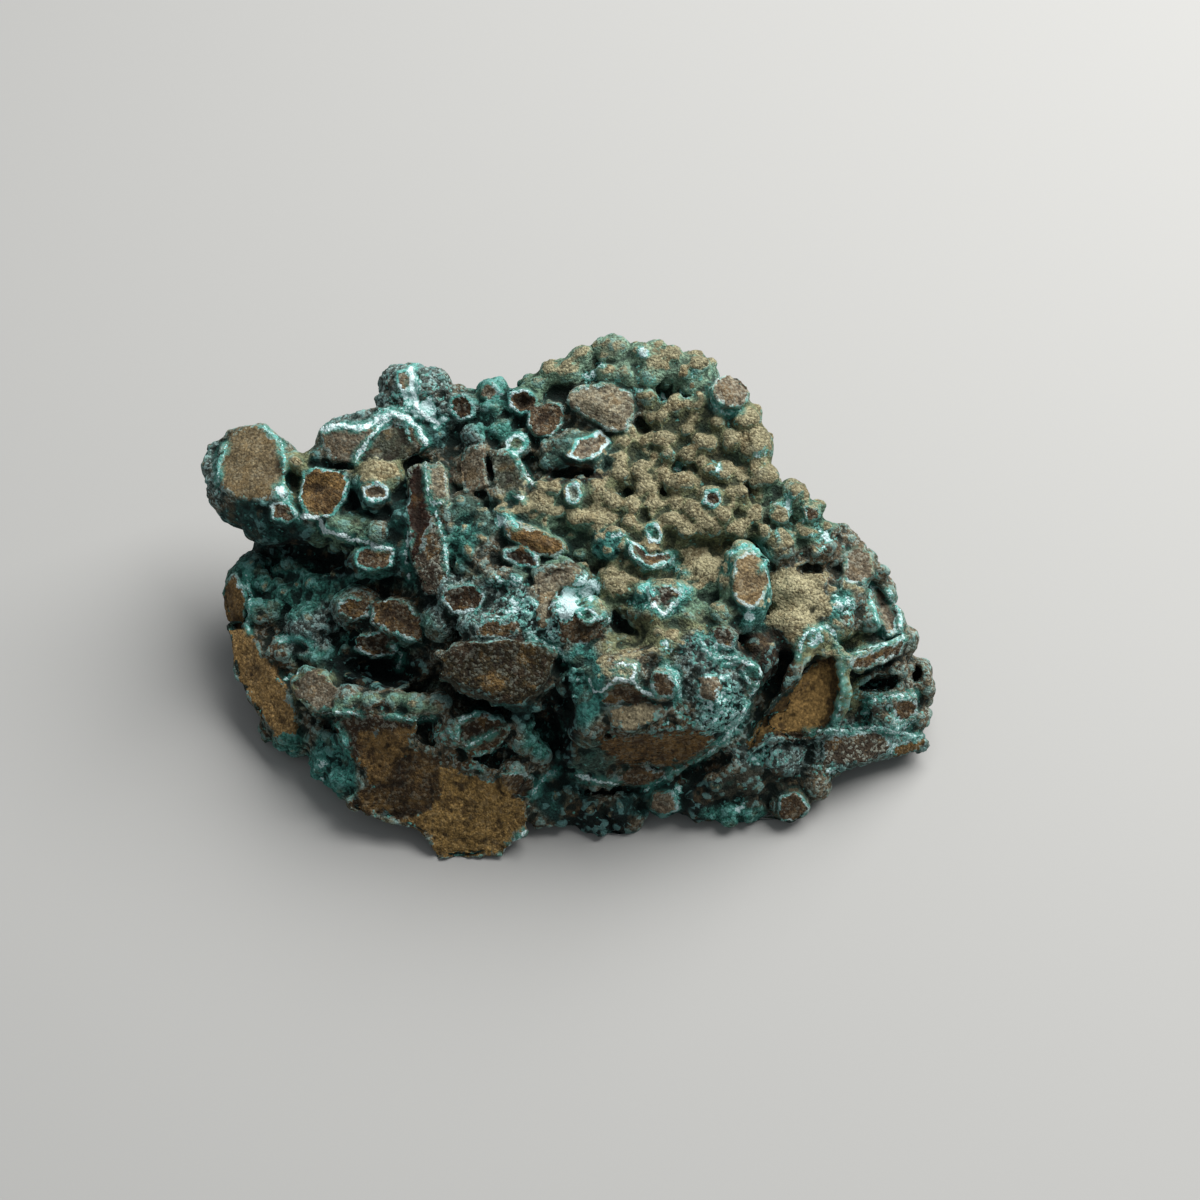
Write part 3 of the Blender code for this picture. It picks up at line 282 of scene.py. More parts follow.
# broken faces: tone, bowl depth in mm, rim strength, outline across and up
brokenFaces = [
    ("clay", -0.4, 0.25, [(-56.4, 22.8), (-54.8, 24.8), (-51.5, 25.9), (-49.8, 25.3), (-48, 23),
        (-47.4, 20), (-47.8, 17), (-49.6, 15.2), (-53, 15), (-56, 16.2), (-57, 19.6)]),
    ("brown", 0.3, 0.8, [(-49, 14.3), (-46.5, 14.2), (-45.4, 12.8), (-46.5, 11.7), (-48.6, 12.3)]),
    ("ochre", 0.5, 0.9, [(-43.9, 18.9), (-42.5, 19.4), (-38, 18.8), (-38.3, 15), (-40.4, 12.9),
        (-43.3, 12.4), (-44.5, 15.2)]),
    ("grey", -0.2, 0.2, [(-41.6, 24.9), (-39, 25.4), (-36, 25), (-33.4, 26.1), (-33.8, 24.4),
        (-35.4, 22.4), (-36.6, 20.6), (-39.7, 20.8), (-41.4, 23)]),
    ("shade", -0.2, 0.2, [(-32.6, 25.4), (-31.4, 26.4), (-29.6, 26), (-28.6, 24), (-27.4, 22.2),
        (-28.7, 20.9), (-32, 21), (-35.6, 21.2), (-34.4, 23)]),
    ("brown", 0, 1, [(-28.8, 26), (-27.6, 25.6), (-26.2, 23.2), (-27.2, 22.4), (-28.4, 24)]),
    ("grey", 0, 0.9, [(-30, 33.8), (-28.6, 34), (-28.1, 32), (-29.2, 31.2), (-30, 32)]),
    ("red", 0.4, 0.3, [(-28.4, 19.3), (-27.2, 20), (-26.5, 19.4), (-26.2, 16), (-25.7, 13.5),
        (-25.4, 11), (-26.4, 9), (-27, 6), (-27.4, 4), (-28.2, 8), (-28.5, 14)]),
    ("speckled", 0.1, 0.2, [(-26.4, 9), (-25.2, 11.4), (-23.6, 10.5), (-23.1, 7), (-23.2, 3),
        (-24.3, 1), (-26, 0.8), (-27.4, 3.2), (-27, 6)]),
    ("dusty", 0, 0.4, [(-25.4, 19.6), (-24, 19.8), (-22.9, 18.9), (-23, 15.4), (-24.6, 15),
        (-25.3, 16)]),
    ("grey", 0.2, 0.1, [(-21.8, 21), (-19.5, 22.3), (-17.2, 23), (-17.3, 20), (-16.9, 17),
        (-19, 16.3), (-22, 17.5)]),
    ("shade", 0.2, 0.15, [(-15.8, 22), (-13.2, 21.6), (-10.8, 17.3), (-12.2, 15.6), (-14.6, 16.5),
        (-15.8, 18)]),
    ("brown", 1.4, 1, [(-13.2, 30.8), (-11, 31), (-9.7, 29.9), (-10.2, 28.5), (-11.8, 27.9),
        (-13.1, 29)]),
    ("brown", 0.5, 0.7, [(-10, 28.8), (-7.5, 29.3), (-5.8, 28.9), (-6.2, 26.3), (-7.5, 24.8),
        (-9.6, 24.7), (-10.6, 26.4)]),
    ("dusty", -1.2, 0.5, [(-5, 30.2), (-3, 31.8), (2, 32), (4.6, 30.5), (4.8, 27), (3.5, 25.4),
        (1.2, 25.4), (-0.8, 27), (-4, 28.6)]),
    ("grey", 0.4, 1, [(-4.6, 21.6), (-3, 23.6), (0.4, 25.1), (0.9, 23.4), (-0.6, 21.7), (-3, 21)]),
    ("pale", 0.3, 1, [(-4.8, 17), (-3.6, 17.2), (-2.9, 16), (-3.6, 14.6), (-4.8, 15)]),
    ("teal", 0.3, 0.9, [(-13.8, 23.9), (-12.4, 24.6), (-11.2, 23.4), (-12, 22), (-13.6, 22.3)]),
    ("grey", 0.2, 0.6, [(-17.5, 31.5), (-16, 32.2), (-14.7, 31), (-16, 30), (-17.5, 30.3)]),
    ("dark", 0.3, 0.8, [(-22, 29.5), (-20.5, 30.3), (-19.2, 29.2), (-19.4, 27.6), (-21, 27),
        (-22, 28)]),
    ("grey", 0.4, 1, [(-35.2, 16.7), (-33.6, 17.4), (-32, 16.6), (-32.2, 15.4), (-34, 14.9),
        (-35.2, 15.6)]),
    ("brown", 0.3, 0.9, [(-36, 7.2), (-33.5, 7.9), (-31, 7.4), (-31.3, 5.4), (-33.5, 4.8),
        (-36, 5.3)]),
    ("ochre", -0.5, 0.4, [(-14.3, 11.4), (-12.6, 11.4), (-10.4, 10.7), (-8, 9.6), (-5.8, 8.7),
        (-4.8, 7.4), (-7, 6.4), (-9.5, 6.8), (-12, 8.5), (-13.9, 9.8)]),
    ("dark", 0.4, 0.8, [(-14, 7.2), (-12, 7.4), (-9.6, 6.3), (-9.6, 5.2), (-12, 5.6),
        (-13.8, 6.2)]),
    ("brown", 0.3, 1, [(4.2, 8.6), (5.4, 6.3), (7.6, 5.1), (10, 5.9), (10.5, 6.9), (8.8, 6.8),
        (7, 6.6), (5.6, 8.3)]),
    ("teal", 0.3, 1, [(7.2, 10.8), (8.2, 11.2), (9, 9.9), (8.6, 8.6), (7.4, 8.7)]),
    ("speckled", 0, 0.7, [(7.2, 0.9), (8.4, 2), (10.6, 1.9), (11.9, 0.6), (11.3, -0.8), (9.4, -2.3),
        (7.9, -0.9)]),
    ("light", 0.2, 0.6, [(20.6, 6.6), (22.6, 7), (24.6, 5.9), (24.9, 3), (24, 0), (22.2, -1.2),
        (20.4, 0.5), (19.9, 3.5)]),
    ("sandy", 0.3, 0.2, [(-55.8, -3.6), (-53.2, -3.8), (-51, -7.5), (-48.6, -11), (-46.6, -14),
        (-45.2, -17.5), (-45.4, -20), (-48.6, -20), (-52.2, -15), (-54.6, -10.4), (-55.9, -6)]),
    ("ochre", -0.4, 0.4, [(-55.6, 2.8), (-54.3, 3.8), (-53.2, 1), (-53, -2.6), (-53.4, -4.2),
        (-56, -4), (-56.4, -1)]),
    ("umber", 0.4, 0.5, [(-39, -0.3), (-37, 0.2), (-34.6, -0.6), (-34.8, -2.5), (-37, -3),
        (-39, -1.8)]),
    ("umber", 0.4, 0.5, [(-34, -0.4), (-31.8, 0), (-28.6, -1), (-27, -3), (-26.7, -6),
        (-28.8, -5.8), (-31.5, -4.4), (-34, -3.4)]),
    ("dark", 0.3, 0.6, [(-36.5, -5.5), (-33, -5), (-30.3, -6.2), (-31, -8.2), (-34, -8.4),
        (-36.5, -7)]),
    ("grey", 0, 0.1, [(-45.6, -12.2), (-43.6, -10.9), (-41, -11.3), (-39.8, -13.6), (-39.6, -16),
        (-42.6, -16.2), (-45.2, -14.6)]),
    ("dark", 0.3, 0.2, [(-41, -17.1), (-38, -17), (-33, -17.6), (-28.6, -18.2), (-27.6, -18.9),
        (-30, -19.2), (-33, -19.7), (-35.6, -20.3), (-36.2, -22.5), (-36.9, -23.4), (-38.8, -21)]),
    ("ochre", 0.7, 0.1, [(-36.2, -19.8), (-31.5, -19), (-27.6, -18.5), (-28.7, -22.6),
        (-30.3, -25.1), (-31.4, -27.8), (-34.3, -27.6), (-35.4, -24.8), (-37, -23)]),
    ("umber", 0.2, 0.1, [(-37.1, -29.3), (-35, -28), (-32.8, -26.7), (-31.5, -24.2), (-29.8, -21.8),
        (-27.3, -22.2), (-23.6, -24.3), (-23.2, -28), (-24.6, -31), (-30, -32.4), (-35, -31.8),
        (-37, -30.6)]),
    ("golden", 0.2, 0.1, [(-24.1, -24.6), (-21, -26), (-17.5, -26.2), (-14, -26.5), (-11.5, -30.5),
        (-11, -33), (-14.8, -37.8), (-24.3, -38.4), (-25.4, -35), (-29.3, -33), (-25.1, -31.2),
        (-23.7, -28)]),
    ("dark", 0.5, 0.3, [(-20.8, -18), (-18, -17.2), (-14.9, -17.7), (-15.6, -19.6), (-18.6, -21),
        (-20.6, -20.6)]),
    ("umber", 0, 0.2, [(-15.4, -19.4), (-14.2, -19.4), (-16.4, -22.4), (-19.4, -23), (-19.8, -21.6),
        (-18.2, -21)]),
    ("brown", 0.3, 0.6, [(-14.6, -26), (-12.2, -26), (-10.2, -26.6), (-10.4, -29), (-13, -29.2),
        (-14.5, -27.8)]),
    ("dusty", -0.3, 0.1, [(-9.6, 3.8), (-6, 4.6), (-3, 4.2), (-3.6, 2.4), (-5.6, 1.8), (-7.2, 0),
        (-7.6, -4), (-9.2, -4.4), (-9.6, 0)]),
    ("brown", 0.1, 0.2, [(-5.8, -3.6), (-3.6, -2.8), (-1, -3.8), (0.6, -3.4), (0.2, -5), (-2, -6.4),
        (-5.6, -6)]),
    ("brown", 0.1, 0.3, [(-18.6, -4), (-15.6, -3.4), (-12.4, -3.6), (-12, -4.8), (-14.6, -5.4),
        (-18.4, -5.2)]),
    ("teal", 0.3, 0.9, [(-3, -1.6), (-1.5, -1.2), (-0.6, -2.3), (-1.7, -3.3), (-3, -2.8)]),
    ("dark", 0.5, 0.8, [(-23.3, 1.7), (-19, 2), (-17.5, 0.8), (-18.4, -1.5), (-22, -1.6),
        (-23.3, 0)]),
    # the shield: its dark tone is partly its own dark grey and partly painted shade, as this face
    # lies in shadow
    ("sooty", 0, 0.1, [(-24.4, -8.6), (-20, -6.4), (-13, -5.8), (-8.2, -6.8), (-6.8, -9),
        (-8.2, -12.4), (-11.5, -15.8), (-15, -15.4), (-19, -12.9), (-24, -11.4)]),
    ("brown", 0.3, 0.2, [(0.4, -13.4), (2.6, -12.4), (4.6, -12.4), (6.2, -13.6), (8.6, -15.3),
        (4, -15.6), (0.7, -15.4)]),
    ("stone", -0.2, 0.1, [(0.5, -15.7), (4, -15.9), (9, -15.6), (8.4, -17.8), (5, -19.2),
        (2.2, -18.4)]),
    ("rust", 0.3, 0.1, [(-0.5, -20.2), (4, -20.6), (8, -20), (12, -19.6), (16, -19.6), (17, -21),
        (13, -24), (10, -24.8), (7.5, -24.4), (5, -24.6), (2.5, -23.6), (0, -21.8)]),
    ("brown", 0.1, 0.3, [(3, -25.6), (6, -25), (9.5, -25.5), (8, -27.2), (5, -27.7), (3, -26.8)]),
    ("brown", 0.1, 0.7, [(8.3, -11), (9.8, -11), (11, -12.6), (10.5, -14.4), (8.8, -14.4),
        (7.8, -12.8)]),
    ("smooth", 0, 0.2, [(34.8, -8.6), (35.5, -12), (35.3, -15), (34.2, -18.6), (31.6, -20.4),
        (25.8, -20), (22.6, -22.5), (22.3, -21.4), (24, -18), (28, -13.7), (31.2, -10.2)]),
    ("ochre", -0.3, 0.1, [(34.6, -8.6), (31.2, -10.2), (28, -13.7), (29.2, -15), (31.8, -13.6)]),
    ("umber", 0, 0.1, [(34.5, -17.2), (31, -18.8), (27, -19.4), (25.6, -20.2), (31.6, -20.6),
        (34.4, -18.8)]),
    ("grey", 0.2, 0.5, [(36.8, 6.9), (38.6, 7.2), (40.2, 6.6), (40.6, 4.2), (39.2, 2.4),
        (36.8, 3.2)]),
    ("grey", 0.2, 0.5, [(40.4, 1.8), (41.8, 1.6), (43.6, -1), (44.4, -4.6), (43, -5.2),
        (41.6, -2.4)]),
    ("brown", 0.2, 0.5, [(37, -8.8), (42, -7.2), (45.2, -5.9), (44.8, -7.9), (41, -9.4),
        (38.2, -10.5)]),
    ("brown", 0.2, 0.5, [(43.6, -14.9), (46.8, -14.7), (47, -17), (44.2, -18.2)]),
    ("speckled", 0.2, 0.3, [(33.4, -20.8), (39, -19.9), (43.6, -20.6), (43, -22.6), (38, -24.2),
        (33.4, -24)]),
    ("ochre", 0.1, 0.4, [(43.9, -21.6), (48.2, -20.8), (48.4, -21.7), (44, -23.3)]),
    ("brown", 0.2, 0.6, [(27, -29.5), (29.5, -29), (31, -31), (29.5, -33), (27, -32.6)]),
    ("grey", 0.2, 0.6, [(8.2, -29), (10.8, -28.8), (11.6, -31), (9.6, -32), (8, -31)]),
    ("speckled", 0.1, 0.5, [(16.8, -4.4), (18.8, -4.2), (20.2, -5.4), (19.6, -7), (17.4, -6.8)]),
    ("grey", -0.6, 0.2, [(14.9, -12), (16, -10.9), (17.6, -11.2), (18, -13), (17, -14.7),
        (15.3, -14.4)]),
    ("grey", -1, 0.5, [(16.9, 31.4), (17.8, 33), (19.4, 33.6), (21.2, 33), (22.2, 31.2),
        (21.8, 29.6), (20, 28.8), (18, 29.4)]),
    ("brown", 0.2, 0.7, [(30.6, 13.6), (32.2, 13.8), (32.6, 12.6), (31.2, 12)]),
    ("dark", 0.2, 0.9, [(15.9, 16), (17.4, 16.2), (17.8, 14.8), (16.8, 13.9), (15.8, 14.6)]),
]

# pale rinds: half width in mm, whiteness, then the line across and up
rinds = [
    (0.45, 0.8, [(-44.5, 12.5), (-42, 12.3), (-41, 10.3), (-39.5, 10), (-37.5, 9), (-35.5, 8.8),
        (-31.5, 7.8)]),
    (0.4, 0.4, [(-56, 23.2), (-56.9, 20.4), (-57, 17.6)]),
    (0.32, 0.35, [(-50.2, 26), (-48.5, 24.7), (-47.5, 23.5), (-47, 20), (-47.3, 17), (-46.5, 14.5),
        (-45, 12)]),
    (0.9, 0.9, [(-48, 16.6), (-47.2, 15.6)]),
    (0.7, 0.7, [(-41.4, 25.5), (-39, 26), (-36.3, 25.6), (-33.2, 26.9), (-31.1, 28), (-29.2, 27.6),
        (-27.2, 25.8), (-25.9, 23.2)]),
    (0.5, 0.6, [(-31.6, 27.2), (-32.8, 26), (-34.2, 24.2), (-35.9, 21.9), (-36.4, 20.7)]),
    (0.6, 0.8, [(-28.2, 34.6), (-28, 31), (-27.4, 28.8), (-26, 27.5), (-24.2, 26.2)]),
    (0.3, 0.7, [(-26.1, 20.3), (-25.9, 17), (-25.4, 14.8), (-24.4, 14.4), (-23.2, 14.6)]),
    (0.25, 0.5, [(-25, 14.2), (-23.9, 11.5), (-22.9, 8), (-22.9, 4)]),
    (0.35, 0.7, [(-28.6, 10), (-29.1, 6), (-28.2, 3)]),
    (0.2, 0.9, [(-13, 22), (-10, 17.2)]),
    (0.5, 0.9, [(-13, 15.6), (-11.4, 15.2)]),
    (0.35, 0.5, [(3.8, 9), (4.6, 6.6), (7, 4.4), (10.3, 5.3), (11.2, 6.8)]),
    (0.35, 0.4, [(10.7, 6), (11.5, 4.6), (13, 4)]),
    (0.6, 0.3, [(19.4, 7), (21.5, 8), (23.5, 8), (25.3, 6.6), (24.2, 4.6)]),
    (0.25, 0.5, [(-10, -5.6), (-6.4, -7), (-5.2, -9)]),
    (0.35, 0.6, [(15, -5.2), (15.8, -7.6), (17.4, -8.8), (20, -8.4), (23.6, -10.2), (23.9, -11.8),
        (22.5, -14.6), (21.4, -17.2), (18, -21.4)]),
    (0.2, 0.5, [(18, -21.4), (14.6, -24.1), (10.5, -25.7), (8.8, -27.2), (6.8, -28.4)]),
    (0.35, 0.8, [(1.9, -10.2), (3.6, -9.6), (5.5, -9.5), (5.1, -11.4)]),
    (0.35, 0.8, [(-1.6, -11.6), (-1, -13.6), (0.4, -13.6), (2.2, -12), (4.8, -11.8), (6.4, -13.2),
        (7.9, -14.5)]),
    (0.3, 0.5, [(18.4, -9.6), (20.5, -9.6), (22.6, -12.4)]),
    (0.35, 0.7, [(-3.6, -26.2), (-0.6, -27), (2.4, -27.4)]),
    (0.45, 0.5, [(29.5, -8.5), (30, -6), (31.5, -4.3), (34, -4), (35.3, -5.5)]),
    (0.12, 0.5, [(35.3, -5.5), (36.2, -10), (36.3, -14), (35.6, -17), (34, -19.5)]),
    (0.25, 0.5, [(36.8, -8.3), (42.2, -6.6), (44.6, -5.6)]),
    (0.35, 0.4, [(40.2, 2.2), (41, -2), (42.6, -5.6)]),
    (0.35, 0.5, [(43, 1.4), (44.8, -2.5), (45.2, -5.6)]),
    (0.25, 0.6, [(39.8, -15.4), (43.2, -14.3), (47.2, -14)]),
    (0.3, 0.5, [(41, -18.9), (44, -19.6), (47, -18)]),
    (0.3, 0.6, [(31, -19.8), (36, -19.4), (40, -19), (44, -19.9), (48.4, -20.3)]),
    (0.2, 0.6, [(-41.4, -16.8), (-39, -16.6), (-35.6, -17.2)]),
    (0.2, 0.5, [(-32, -17.2), (-28, -17.9), (-25, -17.6)]),
    (0.4, 0.3, [(-39.4, -18.6), (-38.2, -20.4), (-37.8, -22.4)]),
    (0.5, 0.4, [(9.5, -9.5), (11.4, -11), (11.8, -14.5)]),
    (0.5, 0.3, [(-14.2, 12.8), (-13, 11.8), (-12.4, 10.9)]),
    (0.6, 0.3, [(6, 1.6), (7.3, 2.4), (8, 0.8)]),
    (0.6, 0.3, [(12, 2.3), (13.3, 1), (11.5, 0)]),
    (0.4, 0.8, [(8, -0.5), (9.5, -2.5), (11, -0.6)]),
    (0.6, 0.2, [(-47, -5.8), (-44.5, -5.5), (-43, -7)]),
    (0.4, 0.4, [(-52.9, 3.8), (-52.2, 0.5), (-52.4, -4.5)]),
    (0.6, 0.4, [(-10, -29), (-8.6, -27), (-6.5, -25.5)]),
    (0.4, 0.6, [(-14.5, -38), (-12.6, -36), (-11.3, -34.5)]),
    (0.45, 0.5, [(-31, -7), (-29.4, -8), (-30, -10)]),
    (0.35, 0.4, [(16.4, 31.6), (16.8, 29.4), (18.6, 27.9), (21, 28.2)]),
    (0.3, 0.6, [(-21.5, -20.8), (-21.1, -18), (-18.4, -16.7)]),
    (0.3, 0.7, [(-20, -21.6), (-18, -21), (-15.4, -19.6)]),
]

# soft stains in the same view: across, up, half sizes, strength
dustStains = [
    (12, 20, 15, 14, 0.8), (15, 8, 13, 8, 1.18), (6, 3, 9, 6, 0.8), (29, 0, 7, 6, 1.45),
    (-9, 14, 7, 4, 1.05), (-3, 12.8, 7, 3.6, 1.25), (-33, 20, 4, 3, 0.9), (-45, 17, 2, 4, 0.7),
    (23, 22, 5, 9, 1), (-18, 8, 4, 6, 0.2), (11, -5.4, 6, 4.4, 0.65), (2.6, -9.8, 4.6, 3.2, 0.6),
    (36, -6, 5, 3, 0.6), (10, 36, 8, 3, 0.7), (30, 12, 5, 6, 0.95), (38, 4, 4, 4, 0.5),
    (-18, 13, 5, 4, 0.2), (-2, 35, 8, 4, 0.6), (-24, 17, 2, 3, 0.7), (5, -8, 5, 3, 0.6),
]
paleStains = [
    (-1.5, 33.5, 1.2, 1, 1), (0.5, 35, 1, 0.8, 0.8), (6.3, 37, 1.1, 0.9, 0.9),
    (14, 33.5, 1.4, 1, 0.7), (7, 31.8, 0.9, 1, 0.8), (9.3, 30.2, 1, 0.9, 0.8),
    (17.4, 19.4, 1.5, 1.8, 0.75), (10.2, 21.8, 1.3, 1.1, 0.65), (12, 19.9, 1.2, 1, 0.6),
    (23.6, 22.4, 1.4, 1.2, 0.6), (24, 19, 1.2, 1.6, 0.6), (19.6, 26, 1.2, 1, 0.5),
    (13, 30.6, 1.2, 1, 0.6), (-28.3, 31.5, 1.7, 4, 1.1), (-26.6, 28.4, 2.6, 1.8, 1),
    (-24.2, 26.6, 1.4, 1.2, 0.8), (-40, 25.6, 1.4, 0.8, 0.8), (-32, 27.8, 1.8, 1, 0.9),
    (-47.3, 16, 1.2, 1.2, 1), (-29, 24.8, 1, 1.2, 0.7), (10, -7, 1.5, 1, 1),
    (24.4, -23.8, 3, 1.4, 0.6), (34, -25.4, 3, 1.4, 0.6), (-15, 11.6, 1.2, 1.2, 1),
    (-11.6, 24.4, 1, 0.8, 0.9), (-4.8, -0.8, 2.7, 3.2, 1.15), (-1.8, 1.8, 2.2, 2.2, 1.05),
    (0.6, -2.6, 1.2, 1, 0.9), (-15.4, 2.8, 1.6, 1, 0.9), (-12.6, 3, 1.4, 1, 1),
    (-12.6, -1, 4, 2.4, 0.6), (22.6, 7.3, 2.2, 0.8, 0.8), (24.8, 3.5, 0.7, 2.4, 0.8),
    (22.5, -2, 1.4, 1.2, 0.8), (32, -5.5, 1.6, 1.4, 0.9), (7, 1.8, 1.4, 1.2, 0.9),
    (12.6, 1.6, 1.4, 1, 0.9), (2.4, 9.6, 1.4, 0.8, 0.6), (36.5, -0.6, 2.4, 2.2, 0.7),
    (33, 9, 2, 2, 0.65), (28, 14, 2, 2, 0.65), (26, 10, 1.4, 2.2, 0.5),
    (16.5, -13.5, 2.2, 2.6, 0.8), (-53.5, 1.6, 1.6, 1.4, 0.7), (-47, -5.6, 1.2, 1, 0.9),
    (-46, -11.5, 2, 1, 0.6), (-41, -24.5, 3, 4, 0.45), (-23, -20, 3, 2, 0.5),
    (11.2, -28.4, 1.4, 1.6, 0.7), (21, -31, 2, 1.4, 0.7), (44, -22, 4, 1, 0.7),
    (-14, -2.6, 7, 1.6, 0.5), (18, -15, 4, 7, 0.6), (16, -7, 5, 3, 0.5), (-28, 31, 5, 4, 0.4),
    (-9, 24, 5, 2, 0.2), (8, 0, 5, 3, 0.4), (38, -1, 5, 4, 0.2), (42, -16, 6, 5, 0.42),
    (25, -22, 7, 4, 0.3), (-15, -8, 8, 4, 0.12), (-3, -13, 2.4, 3, 0.35), (-16, -22, 5, 4, 0.3),
    (6, 33, 4, 2, 0.3), (-33, -4, 6, 4, 0.2), (27, 9, 3, 3, 0.3), (31, 12, 3, 4, 0.3),
    (14, -18, 8, 4, 0.3), (-13, 22, 4, 6, 0.2),
]

# tones of the skin, and how grainy and how crumbly each is; the near-black teal and the dark
# grey-brown are painted shade in cavities, gaps and under overhangs, and the darkest teal and the
# dark grey are crust and stone with painted shade on them
skinTones = {
    "stone": "#645b49", "tan": "#686c4f", "olive": "#5c7560", "moss": "#6d8671",
    "teal": "#2f665b", "sea": "#397269", "deep": "#1a3733", "void": "#0a1715",
    "bottle": "#3d5248", "soot": "#2a241b", "brown": "#4c3c27", "grey": "#55605a",
    "frost": "#7aada4", "shadow": "#3a3a30",
}
textures = {
    "stone": (0.2, 0.5), "tan": (0.3, 0.2), "olive": (0.5, 0.2), "moss": (0.5, 0.3),
    "teal": (1.0, 0.2), "sea": (0.8, 0.5), "deep": (0.8, 0.2), "void": (0.3, 0.3),
    "bottle": (0.8, 0.3), "soot": (0.3, 0.5), "brown": (0.2, 0.7), "grey": (0.4, 0.9),
    "frost": (0.5, 1.0), "shadow": (0.3, 0.5),
}
saltiness = {"grey": 0.5, "frost": 1.0, "stone": 0.3, "brown": 0.2, "teal": 0.1}

# tones of the ore, and how mottled and how white-specked each is
oreTones = {
    "dusty": ("#716a57", 0.6, 0.15), "clay": ("#63573f", 0.3, 0.08),
    "brown": ("#544430", 0.8, 0.2), "ochre": ("#6c5430", 0.7, 0.05),
    "golden": ("#80663a", 0.7, 0.05), "sandy": ("#8c7045", 0.6, 0.05),
    "light": ("#76664a", 0.5, 0.1), "dark": ("#392b1b", 0.9, 0.25),
    "red": ("#241106", 0.4, 0.05), "rust": ("#5e4728", 0.9, 0.1),
    "grey": ("#675d4c", 0.45, 0.2), "shade": ("#363a2e", 0.45, 0.12),
    # the shield's dark tone below is partly its own and partly painted shade
    "sooty": ("#2c2615", 0.9, 0.16), "pale": ("#7d9a90", 0.6, 0.3),
    "teal": ("#2f6a5c", 0.6, 0.2), "speckled": ("#463e32", 0.9, 0.45),
    "stone": ("#776e57", 0.2, 0.0), "smooth": ("#7b6138", 0.05, 0.0),
    "umber": ("#45351f", 0.8, 0.1),
}

# across, up, half sizes, tone; later ones lie over earlier ones; the darkest tones paint shade
# under the knob, in the cavities round the boulder and along the skirt
skinZones = [
    (-5, 0, 70, 50, "stone"), (0, 10, 16, 12, "olive"), (-17, 9, 7, 8, "bottle"),
    (-15.8, 6.2, 2.6, 3.2, "stone"), (-20.6, 9, 2.4, 3.6, "teal"), (10, 22, 14, 14, "tan"),
    (14, 8, 12, 8, "tan"), (-40, 0, 17, 10, "teal"), (-52, 18, 8, 10, "stone"),
    (-58, 19, 2.5, 5, "grey"), (-50, 8, 9, 3.5, "deep"), (-51.5, 12, 6.5, 2.6, "deep"),
    (-45, 7.2, 5, 2.6, "void"), (-40, 5.4, 5, 2.2, "void"), (-45, 18, 3, 5, "tan"),
    (-41.6, 21.3, 2.4, 2.2, "deep"), (-36, 24, 7, 4, "stone"), (-36, 27, 6, 2, "grey"),
    (-28, 31, 6, 5, "grey"), (-20, 27, 5, 4, "grey"), (-24, 25, 3, 3, "deep"),
    (-33, 19.5, 4.5, 4, "tan"), (-35.4, 16, 2.6, 3, "teal"), (-31, 14.4, 3, 2, "deep"),
    (-36, 14, 5, 2.5, "deep"), (-38, 10, 5, 3, "olive"), (-30, 10, 2, 8, "deep"),
    (-25.5, 10, 3, 11, "brown"), (-24.5, 17, 2, 3, "olive"), (-19, 19, 4, 4, "stone"),
    (-13, 19, 4, 4, "stone"), (-12, 26, 8, 2.5, "teal"), (-14, 31, 6, 3, "teal"),
    (-8, 27, 4, 3, "stone"), (-3, 21.5, 6, 3.5, "bottle"), (-3.5, 19.2, 5, 1.4, "soot"),
    (0, 29, 6, 4, "stone"), (2, 36, 14, 4, "moss"), (12, 34, 8, 4, "moss"), (-8, 33, 4, 3, "olive"),
    (19.5, 30.5, 3.2, 3.2, "grey"), (22, 22, 5, 10, "tan"), (30, 14, 6, 6, "olive"),
    (31, 4, 5, 4, "stone"), (30, -4, 6, 6, "tan"), (37, 2, 6, 8, "stone"), (36, -1, 3, 3, "teal"),
    (42, -4, 6, 7, "stone"), (45, -14, 7, 9, "stone"), (38, -16, 4, 8, "shadow"),
    (36, -8, 4, 4, "tan"), (25, -8, 4, 5, "soot"), (36.8, -11, 2.2, 6.5, "tan"),
    (27, -12, 3, 4, "soot"), (22, 2, 4, 7, "teal"), (15, 0, 6, 5, "olive"), (5, 3, 7, 5, "tan"),
    (9, 0, 4, 3, "teal"), (1, 8.4, 2.6, 2.6, "sea"), (9, -6, 9, 3.5, "tan"),
    (5, -11, 5, 4, "stone"), (16, -12, 6, 7, "grey"), (6, -17, 8, 3.5, "stone"),
    (6, -23, 12, 5, "brown"), (-2.5, -12.5, 4, 6, "sea"), (-1.5, -23.5, 4, 3.5, "bottle"),
    (18, -16.5, 4, 5, "frost"), (-6, -19, 3.2, 8, "void"), (-10.6, -20.8, 3, 4, "teal"),
    (-15, -11, 10, 6, "shadow"), (-16, -9, 8, 3, "stone"), (-15, -2, 9, 5, "grey"),
    (-8, -3, 5, 4, "frost"), (-6, 3, 5, 3, "stone"), (-22, 0, 4, 4, "grey"),
    (-33, -2, 7, 4, "brown"), (-34, -10.4, 9, 2.8, "void"), (-43, -4, 5, 4, "grey"),
    (-47, 1.6, 6, 4.6, "teal"), (-53, 0, 3, 6, "teal"), (-43, -13, 4, 3, "tan"),
    (-33, -15.5, 9, 1.6, "olive"), (-34, -20, 7, 5, "brown"), (-17, -20, 6, 5, "stone"),
    (-14, -17, 5, 2, "deep"), (-40, -25, 4, 6, "sea"), (-48, -21, 4, 3, "teal"),
    (-51, -12, 5, 10, "brown"), (-24, -28, 10, 6, "brown"), (-11, -27, 3, 4, "stone"),
    (-5, -30, 5, 4, "deep"), (0, -33, 6, 3, "void"), (8, -30, 6, 3, "deep"),
    (16, -30, 6, 4, "void"), (26, -23, 6, 4, "grey"), (24, -29, 8, 4, "shadow"),
    (20, -32, 5, 1.6, "teal"), (40, -22, 10, 4, "grey"),
]

